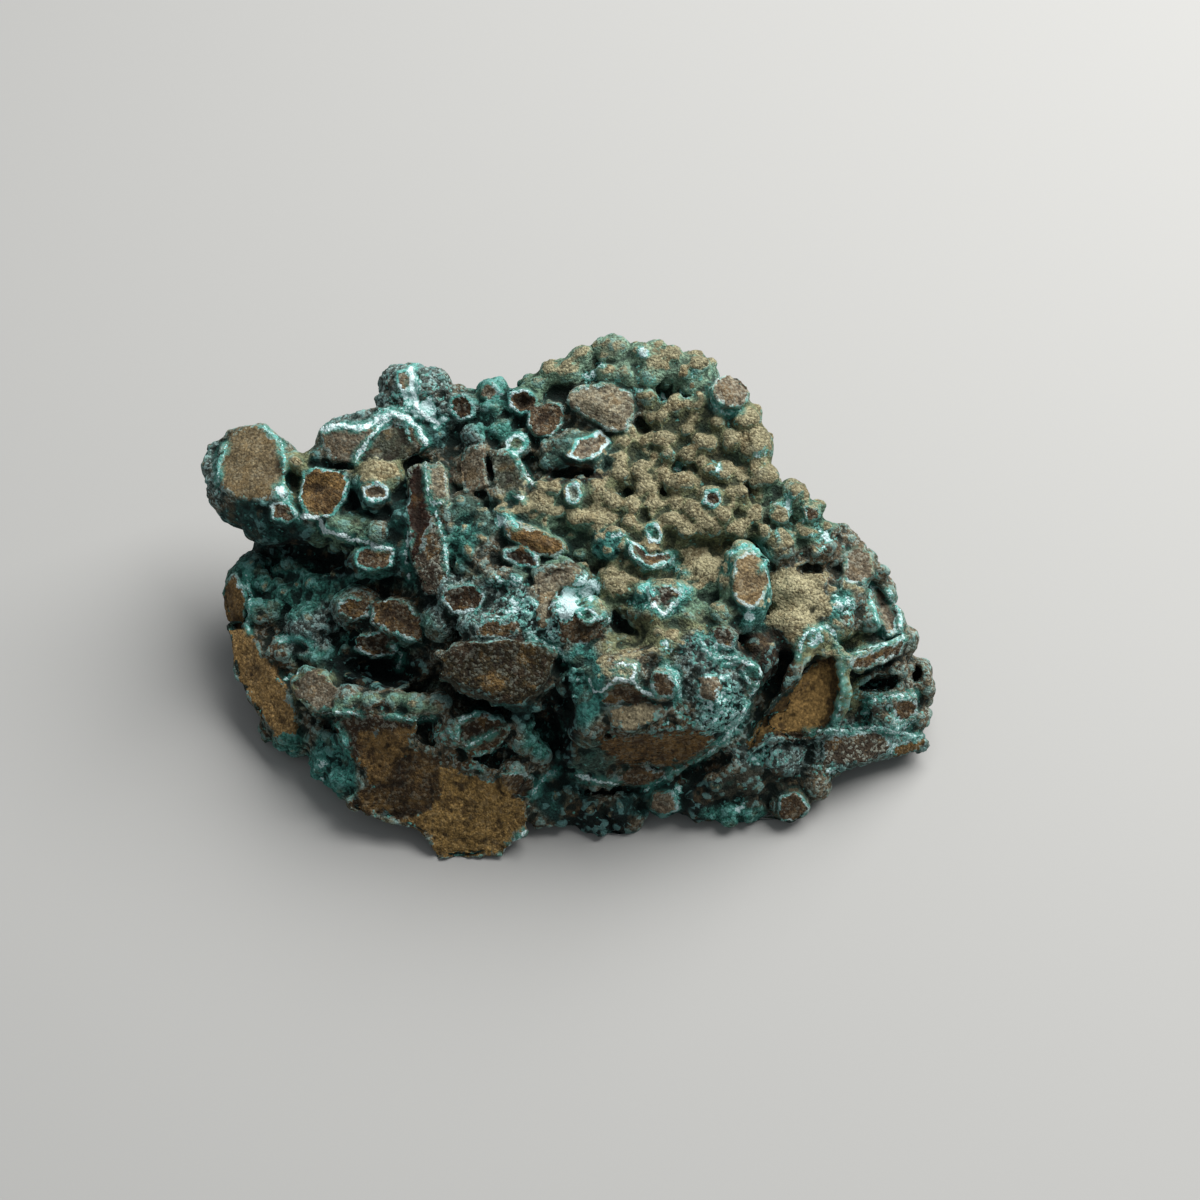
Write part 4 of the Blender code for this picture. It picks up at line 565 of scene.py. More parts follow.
# where the skin is made of grape-like lumps: across, up, half sizes, least and most radius
grapeZones = [
    (8, 22, 16, 14, 1, 2.4), (12, 9, 14, 8, 0.9, 2), (-2, 12, 10, 8, 1, 1.8),
    (-18, 9, 6, 7, 1, 1.8), (7, 36, 10, 4.5, 1.3, 2.2), (30, 12, 7, 8, 1, 1.8),
    (-48, 0, 6, 6, 0.9, 1.6), (-38, 8, 6, 5, 0.9, 1.5), (-40, -8, 12, 4, 0.8, 1.4),
    (-12, 25, 8, 3, 0.8, 1.3), (-9, -22, 5, 8, 0.8, 1.5), (5, -31, 24, 5, 0.8, 1.5),
    (-46, -22, 8, 7, 0.8, 1.5), (16, -12, 6, 8, 0.5, 0.9), (36, 5, 7, 7, 0.9, 1.5),
    (24, -22, 6, 4, 0.8, 1.3), (-24, 24, 5, 4, 0.8, 1.3), (5, 2, 6, 5, 0.8, 1.3),
]


def rolled(degrees=0.0):
    return sightAxes @ Matrix.Rotation(math.radians(degrees), 3, "Z")


def addBalls(rows, inward):  # ellipsoids whose skin, or mouth, is at the height given
    for u, v, height, wide, tall, deep, *roll in rows:
        middle = spot(u, v, height) - (deep * mm * outward if inward else Vector())
        bpy.ops.mesh.primitive_ico_sphere_add(
            subdivisions=3, radius=mm, location=middle,
            rotation=rolled(*roll).to_euler(), scale=(wide, tall, deep))


def addBlock(reach, corners):
    front = [spot(*corner) for corner in corners]
    centre = sum(front, Vector()) / len(front)
    taper = rockShape["blockTaper"]
    back = [centre + (point - centre) * taper - reach * mm * outward for point in front]
    count = len(front)
    sides = [((n + 1) % count, n, count + n, count + (n + 1) % count) for n in range(count)]
    faces = [tuple(range(count)), tuple(range(2 * count - 1, count - 1, -1))] + sides
    return objectFrom("block", front + back, faces)


def objectFrom(name, points, faces):
    data = bpy.data.meshes.new(name)
    data.from_pydata([tuple(point) for point in points], [], faces)
    data.update()
    made = bpy.data.objects.new(name, data)
    bpy.context.collection.objects.link(made)
    return made


def selectOnly(*chosen):
    bpy.ops.object.select_all(action="DESELECT")
    for item in chosen:
        item.select_set(True)
    bpy.context.view_layer.objects.active = chosen[0]


def joinAll(name, chosen):
    selectOnly(*chosen)
    bpy.ops.object.join()
    made = bpy.context.object
    made.name = name
    bpy.ops.object.transform_apply(location=True, rotation=True, scale=True)
    return made


def applyModifier(made, kind, **settings):
    selectOnly(made)
    modifier = made.modifiers.new(kind.lower(), kind)
    for setting, value in settings.items():
        setattr(modifier, setting, value)
    bpy.ops.object.modifier_apply(modifier=modifier.name)


def getPoints(made):
    flat = np.empty(len(made.data.vertices) * 3, dtype=np.float32)
    made.data.vertices.foreach_get("co", flat)
    return flat.reshape(-1, 3).astype(float)


def setPoints(made, points):
    made.data.vertices.foreach_set("co", points.astype(np.float32).ravel())
    made.data.update()


def getNormals(made):
    flat = np.empty(len(made.data.vertices) * 3, dtype=np.float32)
    made.data.vertex_normals.foreach_get("vector", flat)
    return flat.reshape(-1, 3).astype(float)


far = 1e9  # mm, beyond everything
sightGap = 0.2  # mm that a sight line starts above the skin
turnedAway = -0.15  # skin that faces further away than this is out of sight
wander = ((0.40, 2.2), (0.20, 0.9))  # mm that outlines wander, and in what size
zoneEnd, zoneSoft = 1.15, 0.3  # where a zone ends and its soft border, in its half sizes


def outlineDistance(u, v, outline):  # below zero inside
    count = len(outline)
    nearest = np.full(len(u), far)
    inside = np.zeros(len(u), dtype=bool)
    for n in range(count):
        ax, ay = outline[n]
        bx, by = outline[(n + 1) % count]
        nearest = np.minimum(nearest, segmentDistance(u, v, ax, ay, bx, by))
        crosses = (ay > v) != (by > v)
        reach = ax + (v - ay) / (by - ay + 1e-12) * (bx - ax)
        inside ^= crosses & (u < reach)
    return np.where(inside, -nearest, nearest)


def segmentDistance(u, v, ax, ay, bx, by):
    dx, dy = bx - ax, by - ay
    along = np.clip(((u - ax) * dx + (v - ay) * dy) / (dx * dx + dy * dy), 0.0, 1.0)
    return np.hypot(u - ax - along * dx, v - ay - along * dy)


def lineDistance(u, v, points):
    nearest = np.full(len(u), far)
    for (ax, ay), (bx, by) in zip(points[:-1], points[1:]):
        nearest = np.minimum(nearest, segmentDistance(u, v, ax, ay, bx, by))
    return nearest


def near(u, v, outline, margin):
    corners = np.array(outline)
    low = corners.min(axis=0) - margin
    high = corners.max(axis=0) + margin
    return (u > low[0]) & (u < high[0]) & (v > low[1]) & (v < high[1])


def smoothStep(x):
    x = np.clip(x, 0.0, 1.0)
    return x * x * (3.0 - 2.0 * x)


def stain(u, v, blots):  # flat in the middle of each blot, soft towards its border
    result = np.zeros(len(u))
    for su, sv, wide, tall, strength in blots:
        share = np.exp(-(((u - su) / wide) ** 2 + ((v - sv) / tall) ** 2) ** 1.5)
        result = np.maximum(result, strength * share)
    return result


def turnedShare(skin, begin, soft):  # nothing facing the eye, 1 where well turned away
    return smoothStep((-skin.facing - begin) / soft)


def noiseField(points, size, shift=0.0):  # size in mm; another shift gives another pattern
    scaled = (points + shift * mm) / (size * mm)
    return np.array([noise.noise(p, noise_basis="PERLIN_ORIGINAL") for p in scaled.tolist()])


def grainBumps(points, size):  # rounded grains with creases between them
    scaled = points / (size * mm)
    return np.array([1.0 - min(1.0, noise.voronoi(p)[0][0] * 1.3) ** 2 for p in scaled.tolist()])


class Skin:
    # the rock's skin as arrays, in the eye's view and in space
    def __init__(self, made):
        self.points = getPoints(made)
        self.normals = getNormals(made)
        edges = np.empty(len(made.data.edges) * 2, dtype=np.int32)
        made.data.edges.foreach_get("vertices", edges)
        self.a, self.b = edges.reshape(-1, 2).T
        self.count = np.bincount(self.a, minlength=len(self.points)) + np.bincount(
            self.b, minlength=len(self.points))
        self.count = np.maximum(self.count, 1)
        self.u, self.v, self.out = toSight(self.points)
        self.facing = self.normals @ np.array(outward)
        self.visible = seen(made, self.points, self.normals, self.facing)

    def average(self, values):  # mean over each vertex's neighbours
        result = np.empty_like(values)
        size = len(self.points)
        for column in range(values.shape[1]):
            some = values[:, column]
            result[:, column] = np.bincount(self.a, some[self.b], size)
            result[:, column] += np.bincount(self.b, some[self.a], size)
        return result / self.count[:, None]

    def smoothed(self, values, rounds):
        for _ in range(rounds):
            values = 0.5 * values + 0.5 * self.average(values)
        return values

    def bulge(self, rounds):  # mm above the smoothed skin, below zero in creases
        delta = self.points - self.smoothed(self.points, rounds)
        return np.einsum("ij,ij->i", delta, self.normals) / mm


def seen(made, points, normals, facing):  # which vertices the eye can see
    mesh = made.data
    tree = BVHTree.FromPolygons(
        [vertex.co for vertex in mesh.vertices], [face.vertices for face in mesh.polygons])
    visible = np.zeros(len(points), dtype=bool)
    starts = points + sightGap * mm * normals
    for index in np.nonzero(facing > turnedAway)[0]:
        start = Vector(starts[index])
        visible[index] = tree.ray_cast(start, eye - start)[0] is None
    return visible


def placeAlongSight(points, out, newOut):  # slide points along their sight lines
    rays = points - np.array(eye)
    scale = (sight["distance"] - newOut) / (sight["distance"] - out)
    return np.array(eye) + rays * scale[:, None]


def warped(skin):  # view coordinates with a natural wander
    return [place + sum(reach * noiseField(skin.points, size, shift) for reach, size in wander)
            for place, shift in ((skin.u, 0.0), (skin.v, 71.0))]


def makeCore():
    source = bpy.data.objects["chrysocolla_specimen"]
    core = source.copy()
    core.data = source.data.copy()
    core.data.materials.clear()
    bpy.context.collection.objects.link(core)
    selectOnly(core)
    bpy.ops.object.mode_set(mode="EDIT")
    bpy.ops.mesh.select_all(action="SELECT")
    bpy.ops.mesh.remove_doubles(threshold=1e-6)
    bpy.ops.object.mode_set(mode="OBJECT")
    applyModifier(core, "DISPLACE", strength=-rockShape["coreInset"] * mm, mid_level=0.0)
    return core


def makeForm():
    before = set(bpy.data.objects)
    addBalls(lumps, True)
    for reach, corners in blocks:
        addBlock(reach, corners)
    pieces = [item for item in bpy.data.objects if item not in before]
    form = joinAll("form", [makeCore()] + pieces)
    applyModifier(form, "REMESH", mode="VOXEL", voxel_size=rockShape["firstVoxel"] * mm)
    before = set(bpy.data.objects)
    addBalls(hollows, False)
    cutters = [item for item in bpy.data.objects if item not in before]
    cutter = joinAll("hollows", cutters)
    applyModifier(cutter, "REMESH", mode="VOXEL", voxel_size=rockShape["hollowVoxel"] * mm)
    applyModifier(form, "BOOLEAN", operation="DIFFERENCE", object=cutter, solver="MANIFOLD")
    bpy.data.objects.remove(cutter, do_unlink=True)
    return form


def zoneShares(u, v, zones):  # weight of each zone at each point, later zones on top
    shares = []
    left = np.ones(len(u))
    for su, sv, wide, tall, *rest in reversed(zones):
        reach = np.hypot((u - su) / wide, (v - sv) / tall)
        share = left * smoothStep((zoneEnd - reach) / zoneSoft)
        left = left - share
        shares.append(share)
    return shares[::-1], left


grapeShape = {  # mm
    "seed": 11,
    "tries": 1.2,  # for each square mm of skin
    "small": 1.4,  # the higher, the more of them are near their least radius
    "behind": (0.8, 1.9, 1.5),  # least and most radius, and how many are small, behind
    "behindTries": 0.8,
    "turned": -0.25,  # skin that faces further away than this counts as behind
    "cell": 4.0,  # of the grid that finds the grapes near by
    "baseGap": 1.2,  # kept free above the cut
    "faceGap": 1.0,  # kept free round a broken face
    "faceTurned": -0.1,
    "spacing": 0.85,  # of the radius
    "sunk": (0.84, 0.5),  # of the radius: at most, and how much less some are
    "squash": 0.3,
}
neighbours = [(x, y, z) for x in (-1, 0, 1) for y in (-1, 0, 1) for z in (-1, 0, 1)]


def sampleSkin(form, dice):  # places on the form, spread by area, with the way each faces
    mesh = form.data
    mesh.calc_loop_triangles()
    triangles = np.empty(len(mesh.loop_triangles) * 3, dtype=np.int32)
    mesh.loop_triangles.foreach_get("vertices", triangles)
    corners = getPoints(form)[triangles.reshape(-1, 3)]
    cross = np.cross(corners[:, 1] - corners[:, 0], corners[:, 2] - corners[:, 0])
    area = np.linalg.norm(cross, axis=1) / 2.0
    normal = cross / (2.0 * area[:, None] + 1e-18)
    tries = int(area.sum() / mm ** 2 * grapeShape["tries"])
    picks = dice.choice(len(area), size=tries, p=area / area.sum())
    weights = dice.dirichlet((1.0, 1.0, 1.0), size=tries)
    return np.einsum("ij,ijk->ik", weights, corners[picks]), normal[picks]


def keepApart(spots, radius):  # take the places in turn, each clear of those before it
    kept = []
    grid = {}
    cell = grapeShape["cell"] * mm
    for index in np.nonzero(radius > 0.0)[0]:
        key = tuple((spots[index] // cell).astype(int))
        ownGap = radius[index] * grapeShape["spacing"] * mm
        taken = [other for dx, dy, dz in neighbours
                 for other in grid.get((key[0] + dx, key[1] + dy, key[2] + dz), ())]
        if all(np.sum((place - spots[index]) ** 2) >= (gap + ownGap) ** 2 for place, gap in taken):
            grid.setdefault(key, []).append((spots[index], ownGap))
            kept.append(index)
    return kept


def scatterGrapes(form, dice):
    spots, towards = sampleSkin(form, dice)
    u, v, out = toSight(spots)
    facing = towards @ np.array(outward)
    radius = np.zeros(len(spots))
    shares, left = zoneShares(u, v, grapeZones)
    for share, (*place, low, high) in zip(shares, grapeZones):
        chosen = (share > 0.5) & (facing > grapeShape["turned"])
        radius[chosen] = low + (high - low) * dice.random(chosen.sum()) ** grapeShape["small"]
    hidden = (facing < grapeShape["turned"]) & (dice.random(len(spots)) < grapeShape["behindTries"])
    low, high, small = grapeShape["behind"]
    radius[hidden] = low + (high - low) * dice.random(hidden.sum()) ** small
    radius[spots[:, 2] < grapeShape["baseGap"] * mm] = 0.0
    gap = grapeShape["faceGap"]
    for *rest, outline in brokenFaces:
        index = np.nonzero(near(u, v, outline, gap) & (facing > grapeShape["faceTurned"]))[0]
        radius[index[outlineDistance(u[index], v[index], outline) < gap]] = 0.0
    kept = keepApart(spots, radius)
    return spots[kept], towards[kept], radius[kept] * mm


def addGrapes(spots, towards, radii, dice):
    bpy.ops.mesh.primitive_ico_sphere_add(subdivisions=2, radius=1.0)
    ball = bpy.context.object
    shape = getPoints(ball)
    faces = np.array([face.vertices[:] for face in ball.data.polygons])
    bpy.data.objects.remove(ball, do_unlink=True)
    squash = 1.0 + grapeShape["squash"] * (dice.random((len(spots), 3)) - 0.5)
    most, less = grapeShape["sunk"]
    sunk = radii * (less * dice.random(len(spots)) - most)
    middles = spots + towards * sunk[:, None]
    points = middles[:, None, :] + shape[None] * (radii[:, None] * squash)[:, None, :]
    steps = np.arange(len(spots)) * len(shape)
    allFaces = (faces[None] + steps[:, None, None]).reshape(-1, 3)
    return objectFrom("grapes", points.reshape(-1, 3), allFaces.tolist())


skinShape = {  # mm
    "sharpen": 0.75,  # how far creases are deepened
    "creases": ((6, 0.5), (24, 0.45)),  # rounds of smoothing that find them, and their share
    "limits": (-0.6, 0.5),  # of what is deepened and rounded out
    "dustFill": 0.6,  # how far dust fills them
    "swells": ((0.55, 3.2), (0.30, 1.5)),  # height and size
    "grains": (0.30, 1.5, 0.5, 0.16, 0.6),  # bumps: height, size, level; wander: height, size
    "crumbs": (0.30, 0.9, 0.6, 0.34, 0.8),
    "plain": 0.5,  # how crumbly the skin is outside the zones, and how rough it is behind
    "turned": (0.1, 0.3),  # where the skin behind begins, and its soft border
}


def sharpen(rock):  # deepen the creases and round out the lumps
    skin = Skin(rock)
    bare = 1.0 - skinShape["dustFill"] * stain(skin.u, skin.v, dustStains)
    for rounds, share in skinShape["creases"]:
        gain = np.clip(skin.bulge(rounds), *skinShape["limits"]) * share * bare
        gain = gain * skinShape["sharpen"]
        skin.points = skin.points + skin.normals * (gain * mm)[:, None]
    setPoints(rock, skin.points)


def textureShares(skin):  # how grainy and how crumbly each place is
    shares, left = zoneShares(skin.u, skin.v, skinZones)
    grainy = np.zeros(len(skin.u))
    crumbly = skinShape["plain"] * left
    for share, (*place, tone) in zip(shares, skinZones):
        grainy += share * textures[tone][0]
        crumbly += share * textures[tone][1]
    behind = turnedShare(skin, *skinShape["turned"])
    return [rough * (1 - behind) + skinShape["plain"] * behind for rough in (grainy, crumbly)]


def roughen(rock):
    skin = Skin(rock)
    points = skin.points
    rise = sum(height * noiseField(points, size) for height, size in skinShape["swells"])
    for share, key in zip(textureShares(skin), ("grains", "crumbs")):
        height, size, level, sway, swaySize = skinShape[key]
        rise += share * (height * (grainBumps(points, size) - level)
                         + sway * noiseField(points, swaySize))
    setPoints(rock, points + skin.normals * (rise * mm)[:, None])


faceShape = {  # mm
    "band": 0.5,  # over which a broken face, with the rind round it, meets the skin
    "reach": 1.6,  # how far outside its outline a face still shapes the skin
    "turned": -0.35,  # skin that faces further away than this isn't part of a face
    "inside": 0.2,  # a face's plane is fitted to what lies this far inside its outline
    "fewest": 12,  # points that a face needs
    "spread": 4.0,  # of their depths
    "furthest": 4.5,  # skin further than this from the plane is left alone
    "flatness": 0.97,
    "narrowest": 0.5,  # half width that a bowl is shaped over, at least
    "small": (2.2, 0.55),  # a face of less than this half width is this share as rough
    "leastRough": 0.15,  # and the more mottled its tone, the rougher
    "chips": (0.45, 3.4),  # height and size
    "steps": (0.35, 5),  # height, and steps in each chip
    "grain": ((0.30, 1.5), (0.22, 0.7)),
    "knobTurned": (-0.15, 0.35),  # where a knob's turned side begins, and its soft border
    "rindWidth": 0.6,
    "strongRim": 0.8,  # a stronger rim has no wider rind
    "rimHeight": 0.16,
    "rimPlace": 0.2,  # outside the outline
    "rimWidth": 0.3,
    "rimBreaks": (0.75, 1.2),  # how much of a rim stands, and how far that varies
    "lineHeight": 0.30,
    "lineReach": 2.0,
    "lineSpread": 1.1,
    "lineBreaks": (0.8, 1.2),
    "breakSize": 1.3,
}


def brokenRough(points):  # chipped and stepped, as broken rock is
    height, size = faceShape["chips"]
    stepHeight, steps = faceShape["steps"]
    chips = noiseField(points, size)
    rough = height * chips + stepHeight * np.floor(chips * steps) / steps
    return rough + sum(height * noiseField(points, size) for height, size in faceShape["grain"])


def facePlane(skin, index, distance):  # a broken face's own plane, or nothing if it is hidden
    face = index[(distance < -faceShape["inside"]) & skin.visible[index]]
    if len(face) < faceShape["fewest"]:
        return None
    good = face[np.abs(skin.out[face] - np.median(skin.out[face])) < faceShape["spread"]]
    plane = np.column_stack((skin.u[good], skin.v[good], np.ones(len(good))))
    tilt, *_ = np.linalg.lstsq(plane, skin.out[good], rcond=None)
    return skin.u[index] * tilt[0] + skin.v[index] * tilt[1] + tilt[2]


def standing(uneven, breaks):  # the share of a rim that hasn't broken away
    most, vary = breaks
    return smoothStep(most + vary * uneven)


def breakFaces(rock):  # flatten each broken face and raise its rim, then raise the rinds
    skin = Skin(rock)
    points, normals, out = skin.points, skin.normals, skin.out
    u, v = warped(skin)
    uneven = noiseField(points, faceShape["breakSize"])
    rough = brokenRough(points)
    halfWidth, lessRough = faceShape["small"]
    begin, soft = faceShape["knobTurned"]
    for tone, bowl, rim, outline in brokenFaces:
        around = near(u, v, outline, faceShape["reach"]) & (skin.facing > faceShape["turned"])
        index = np.nonzero(around)[0]
        distance = outlineDistance(u[index], v[index], outline)
        wanted = facePlane(skin, index, distance)
        if wanted is None:
            continue
        deepest = max(faceShape["narrowest"], -distance.min())
        calm = 1.0 if deepest > halfWidth else lessRough
        calm = calm * min(1.0, faceShape["leastRough"] + oreTones[tone][1])
        wanted = wanted - bowl * smoothStep(-distance / deepest) + calm * rough[index]
        gap = wanted - out[index]
        usable = np.abs(gap) < faceShape["furthest"]
        inside = -distance + faceShape["rindWidth"] * min(rim, faceShape["strongRim"])
        share = smoothStep(inside / faceShape["band"] + 0.5) * usable
        if bowl < 0.0:  # a knob's turned sides stay
            share *= smoothStep((skin.facing[index] - begin) / soft)
        newOut = out[index] + gap * share * faceShape["flatness"]
        points[index] = placeAlongSight(points[index], out[index], newOut)
        out[index] = newOut
        height = faceShape["rimHeight"] * rim * standing(uneven[index], faceShape["rimBreaks"])
        aside = (distance - faceShape["rimPlace"]) / faceShape["rimWidth"]
        raised = height * np.exp(-aside ** 2) * usable * (share > 0.01)
        points[index] += normals[index] * (raised * mm)[:, None]
    for width, white, line in rinds:
        index = np.nonzero(near(u, v, line, faceShape["lineReach"]) & skin.visible)[0]
        distance = lineDistance(u[index], v[index], line)
        height = faceShape["lineHeight"] * standing(uneven[index], faceShape["lineBreaks"])
        raised = height * np.exp(-(distance / (width * faceShape["lineSpread"])) ** 2)
        points[index] += normals[index] * (raised * mm)[:, None]
    setPoints(rock, points)


def cutBase(rock):
    selectOnly(rock)
    bpy.ops.object.mode_set(mode="EDIT")
    bpy.ops.mesh.select_all(action="SELECT")
    bpy.ops.mesh.bisect(plane_co=(0, 0, 0), plane_no=(0, 0, -1), use_fill=True, clear_outer=True)
    bpy.ops.mesh.select_all(action="SELECT")
    bpy.ops.mesh.quads_convert_to_tris()
    bpy.ops.object.mode_set(mode="OBJECT")


def dropCrumbs(rock):  # keep the one large closed skin
    selectOnly(rock)
    bpy.ops.object.mode_set(mode="EDIT")
    bpy.ops.mesh.select_all(action="SELECT")
    bpy.ops.mesh.separate(type="LOOSE")
    bpy.ops.object.mode_set(mode="OBJECT")
    parts = sorted(bpy.context.selected_objects, key=lambda item: len(item.data.vertices))
    for crumb in parts[:-1]:
        bpy.data.objects.remove(crumb, do_unlink=True)
    return parts[-1]


def thinOut(rock):  # first the sides away from the eye, then all of it evenly
    skin = Skin(rock)
    hidden = np.where(skin.visible, 0.0, 1.0)[:, None]
    hidden = skin.smoothed(hidden, rockShape["hiddenRounds"])[:, 0]
    group = rock.vertex_groups.new(name="hidden")
    chosen = np.nonzero(hidden > rockShape["hiddenShare"])[0].tolist()
    group.add(chosen, 1.0, "REPLACE")
    applyModifier(rock, "TRIANGULATE")
    applyModifier(rock, "DECIMATE", ratio=rockShape["hiddenThinning"], vertex_group="hidden",
                  vertex_group_factor=1.0)
    rock.vertex_groups.clear()
    count = len(rock.data.polygons)
    if count > rockShape["triangles"]:
        applyModifier(rock, "DECIMATE", ratio=rockShape["triangles"] / count)


def makeRock():
    dice = np.random.default_rng(grapeShape["seed"])
    form = makeForm()
    print("form made", len(form.data.polygons))
    spots, towards, radii = scatterGrapes(form, dice)
    print("grapes placed", len(spots))
    grapes = addGrapes(spots, towards, radii, dice)
    rock = joinAll("chrysocollaSpecimen", [form, grapes])
    applyModifier(rock, "REMESH", mode="VOXEL", voxel_size=rockShape["fineVoxel"] * mm)
    print("grapes fused", len(rock.data.polygons))
    sharpen(rock)
    roughen(rock)
    breakFaces(rock)
    print("faces broken")
    cutBase(rock)
    rock = dropCrumbs(rock)
    thinOut(rock)
    print("rock made", len(rock.data.polygons))
    return rock


rock = makeRock()


def toLinear(code):
    values = [int(code[n:n + 2], 16) / 255.0 for n in (1, 3, 5)]
    return tuple(x / 12.92 if x <= 0.04045 else ((x + 0.055) / 1.055) ** 2.4 for x in values)


def addField(made, name, values):
    if values.ndim == 1:
        layer = made.data.attributes.new(name, "FLOAT", "POINT")
        layer.data.foreach_set("value", values.astype(np.float32))
    else:
        layer = made.data.attributes.new(name, "FLOAT_COLOR", "POINT")
        colours = np.column_stack((values, np.ones(len(values))))
        layer.data.foreach_set("color", colours.astype(np.float32).ravel())


fieldShape = {  # mm
    "outlines": 3.0,  # how far from a broken face, or a rind, its distance is kept
    "turned": -0.3,  # skin that faces further away than this isn't part of a face
    "inside": 0.2,  # a face's depth is taken this far inside its outline
    "fewest": 5,  # points that a face needs
    "depth": 5.0,  # skin further in front of or behind a face doesn't belong to it
    "rindReach": 2.5,
    "rindCore": 0.5,  # of the half width, fully pale
    "toneSway": (1.6, 2.6),  # how far the border between two tones wanders, and in what size
    "zoneSway": (1.3, 4.0),
    "plainSalt": 0.35,  # outside the zones
    "behind": (0.15, 0.35),  # where the skin behind begins, and its soft border
    "bulge": ((3, 0.35), (9, 0.65)),  # rounds of smoothing that find it, and their share
    "bulgeLimits": (-0.4, 0.25),
    "hollow": 30,
    "hollowLimits": (-2.0, 0.6),
}
behindTones = {  # tone, size in mm of its patches, shift, where they begin and their soft edge
    "plain": "stone",
    "patches": ("teal", 7.0, 0.0, -0.25, 0.5),
    "dusty": ("olive", 9.0, 29.0, 0.05, 0.25),
    "salt": 0.4,
    "dust": 0.3,
    "pale": 0.15,
}


def faceFields(skin, u, v):  # distance to the nearest broken face, and what that face is like
    limit = fieldShape["outlines"]
    edge, ranked = np.full(len(u), limit), np.full(len(u), limit)
    rim, specked, mottled = np.zeros(len(u)), np.zeros(len(u)), np.ones(len(u))
    tone = np.tile(toLinear(oreTones["brown"][0]), (len(u), 1))
    reach, size = fieldShape["toneSway"]
    sway = [reach * noiseField(skin.points, size, shift) for shift in (5.0, 53.0)]
    for number, (name, bowl, strength, outline) in enumerate(brokenFaces):
        around = near(u, v, outline, limit) & (skin.facing > fieldShape["turned"])
        index = np.nonzero(around)[0]
        distance = outlineDistance(u[index], v[index], outline)
        face = index[(distance < -fieldShape["inside"]) & skin.visible[index]]
        if len(face) < fieldShape["fewest"]:
            continue
        alike = np.abs(skin.out[index] - np.median(skin.out[face])) < fieldShape["depth"]
        index, distance = index[alike], distance[alike]
        edge[index] = np.minimum(edge[index], distance)
        place = distance + sway[number % 2][index]
        closer = place < ranked[index]
        index = index[closer]
        ranked[index] = place[closer]
        rim[index] = strength
        code, mottled[index], specked[index] = oreTones[name]
        tone[index] = toLinear(code)
    return edge, rim, tone, mottled, specked


def rindFields(skin, u, v):  # distance to the nearest rind, and how white it is
    edge, white = np.full(len(u), fieldShape["outlines"]), np.zeros(len(u))
    for width, whiteness, line in rinds:
        index = np.nonzero(near(u, v, line, fieldShape["rindReach"]) & skin.visible)[0]
        distance = lineDistance(u[index], v[index], line) - width * fieldShape["rindCore"]
        closer = distance < edge[index]
        index, distance = index[closer], distance[closer]
        edge[index] = distance
        white[index] = whiteness
    return edge, white


def skinFields(skin, behind):  # tone and salt, from the zones in front and from noise behind
    reach, size = fieldShape["zoneSway"]
    drift = [reach * noiseField(skin.points, size, shift) for shift in (13.0, 37.0)]
    shares, left = zoneShares(skin.u + drift[0], skin.v + drift[1], skinZones)
    front = np.outer(left, toLinear(skinTones["stone"]))
    salt = fieldShape["plainSalt"] * left
    for share, (*place, tone) in zip(shares, skinZones):
        front += np.outer(share, toLinear(skinTones[tone]))
        salt += share * saltiness.get(tone, 0.0)
    back = np.tile(toLinear(skinTones[behindTones["plain"]]), (len(left), 1))
    for key in ("patches", "dusty"):
        tone, size, shift, begin, soft = behindTones[key]
        share = smoothStep((noiseField(skin.points, size, shift) - begin) / soft)
        back = back * (1 - share)[:, None] + np.outer(share, toLinear(skinTones[tone]))
    return front * (1 - behind)[:, None] + back * behind[:, None], salt


def paintFields(rock):
    skin = Skin(rock)
    u, v = warped(skin)
    behind = turnedShare(skin, *fieldShape["behind"])

    def withBehind(values, key):
        return values * (1 - behind) + behindTones[key] * behind

    edge, rim, ore, mottled, specked = faceFields(skin, u, v)
    rindEdge, rindWhite = rindFields(skin, u, v)
    tone, salt = skinFields(skin, behind)
    bulge = sum(share * skin.bulge(rounds) for rounds, share in fieldShape["bulge"])
    fields = {
        "skinTone": tone,
        "oreTone": ore,
        "salt": withBehind(np.where(edge < 0.0, specked, salt), "salt"),
        "mottled": mottled,
        "facesUp": skin.normals[:, 2],
        "faceEdge": edge,
        "rimStrength": rim,
        "rindEdge": rindEdge,
        "rindWhite": rindWhite,
        "dustStain": withBehind(stain(u, v, dustStains), "dust"),
        "paleStain": withBehind(stain(u, v, paleStains), "pale"),
        "bulge": np.clip(bulge, *fieldShape["bulgeLimits"]),
        "hollow": np.clip(skin.bulge(fieldShape["hollow"]), *fieldShape["hollowLimits"]),
    }
    for name, values in fields.items():
        addField(rock, name, values)


paintFields(rock)
print("fields painted")


def addNode(tree, kind, output=0, **values):  # i0, i1 are inputs by number, others by name
    node = tree.nodes.new("ShaderNode" + kind)
    for name, value in values.items():
        if name[0] == "i" and name[1:].isdigit():
            socket = node.inputs[int(name[1:])]
        elif hasattr(node, name):
            setattr(node, name, value)
            continue
        else:
            socket = node.inputs[name.replace("_", " ")]
        if isinstance(value, bpy.types.NodeSocket):
            tree.links.new(value, socket)
        elif isinstance(value, str):
            socket.default_value = (*toLinear(value), 1.0)
        else:
            socket.default_value = value
    return None if output is None else node.outputs[output]


crustFinish = {  # sizes in mm; the finest grains are drawn as coarse as they need to show
    "patchSize": 3.3333,
    "blotchSize": 1.1111,
    "speckSize": 0.38462,
    "grainSize": 0.4,
    "crumbSize": 0.86957,
    "crackSize": 4.1667,
    "crackBend": 0.9,
    "streakSize": 0.45455,
    "streakStretch": 0.3,
    "streakTurn": (0.5, 0.3, 0.4),
    "bumpDepth": 0.5,
    "roughness": 0.9,  # dry and dusty, with no polish anywhere
    "specular": 0.25,
    "ior": 1.5,
}


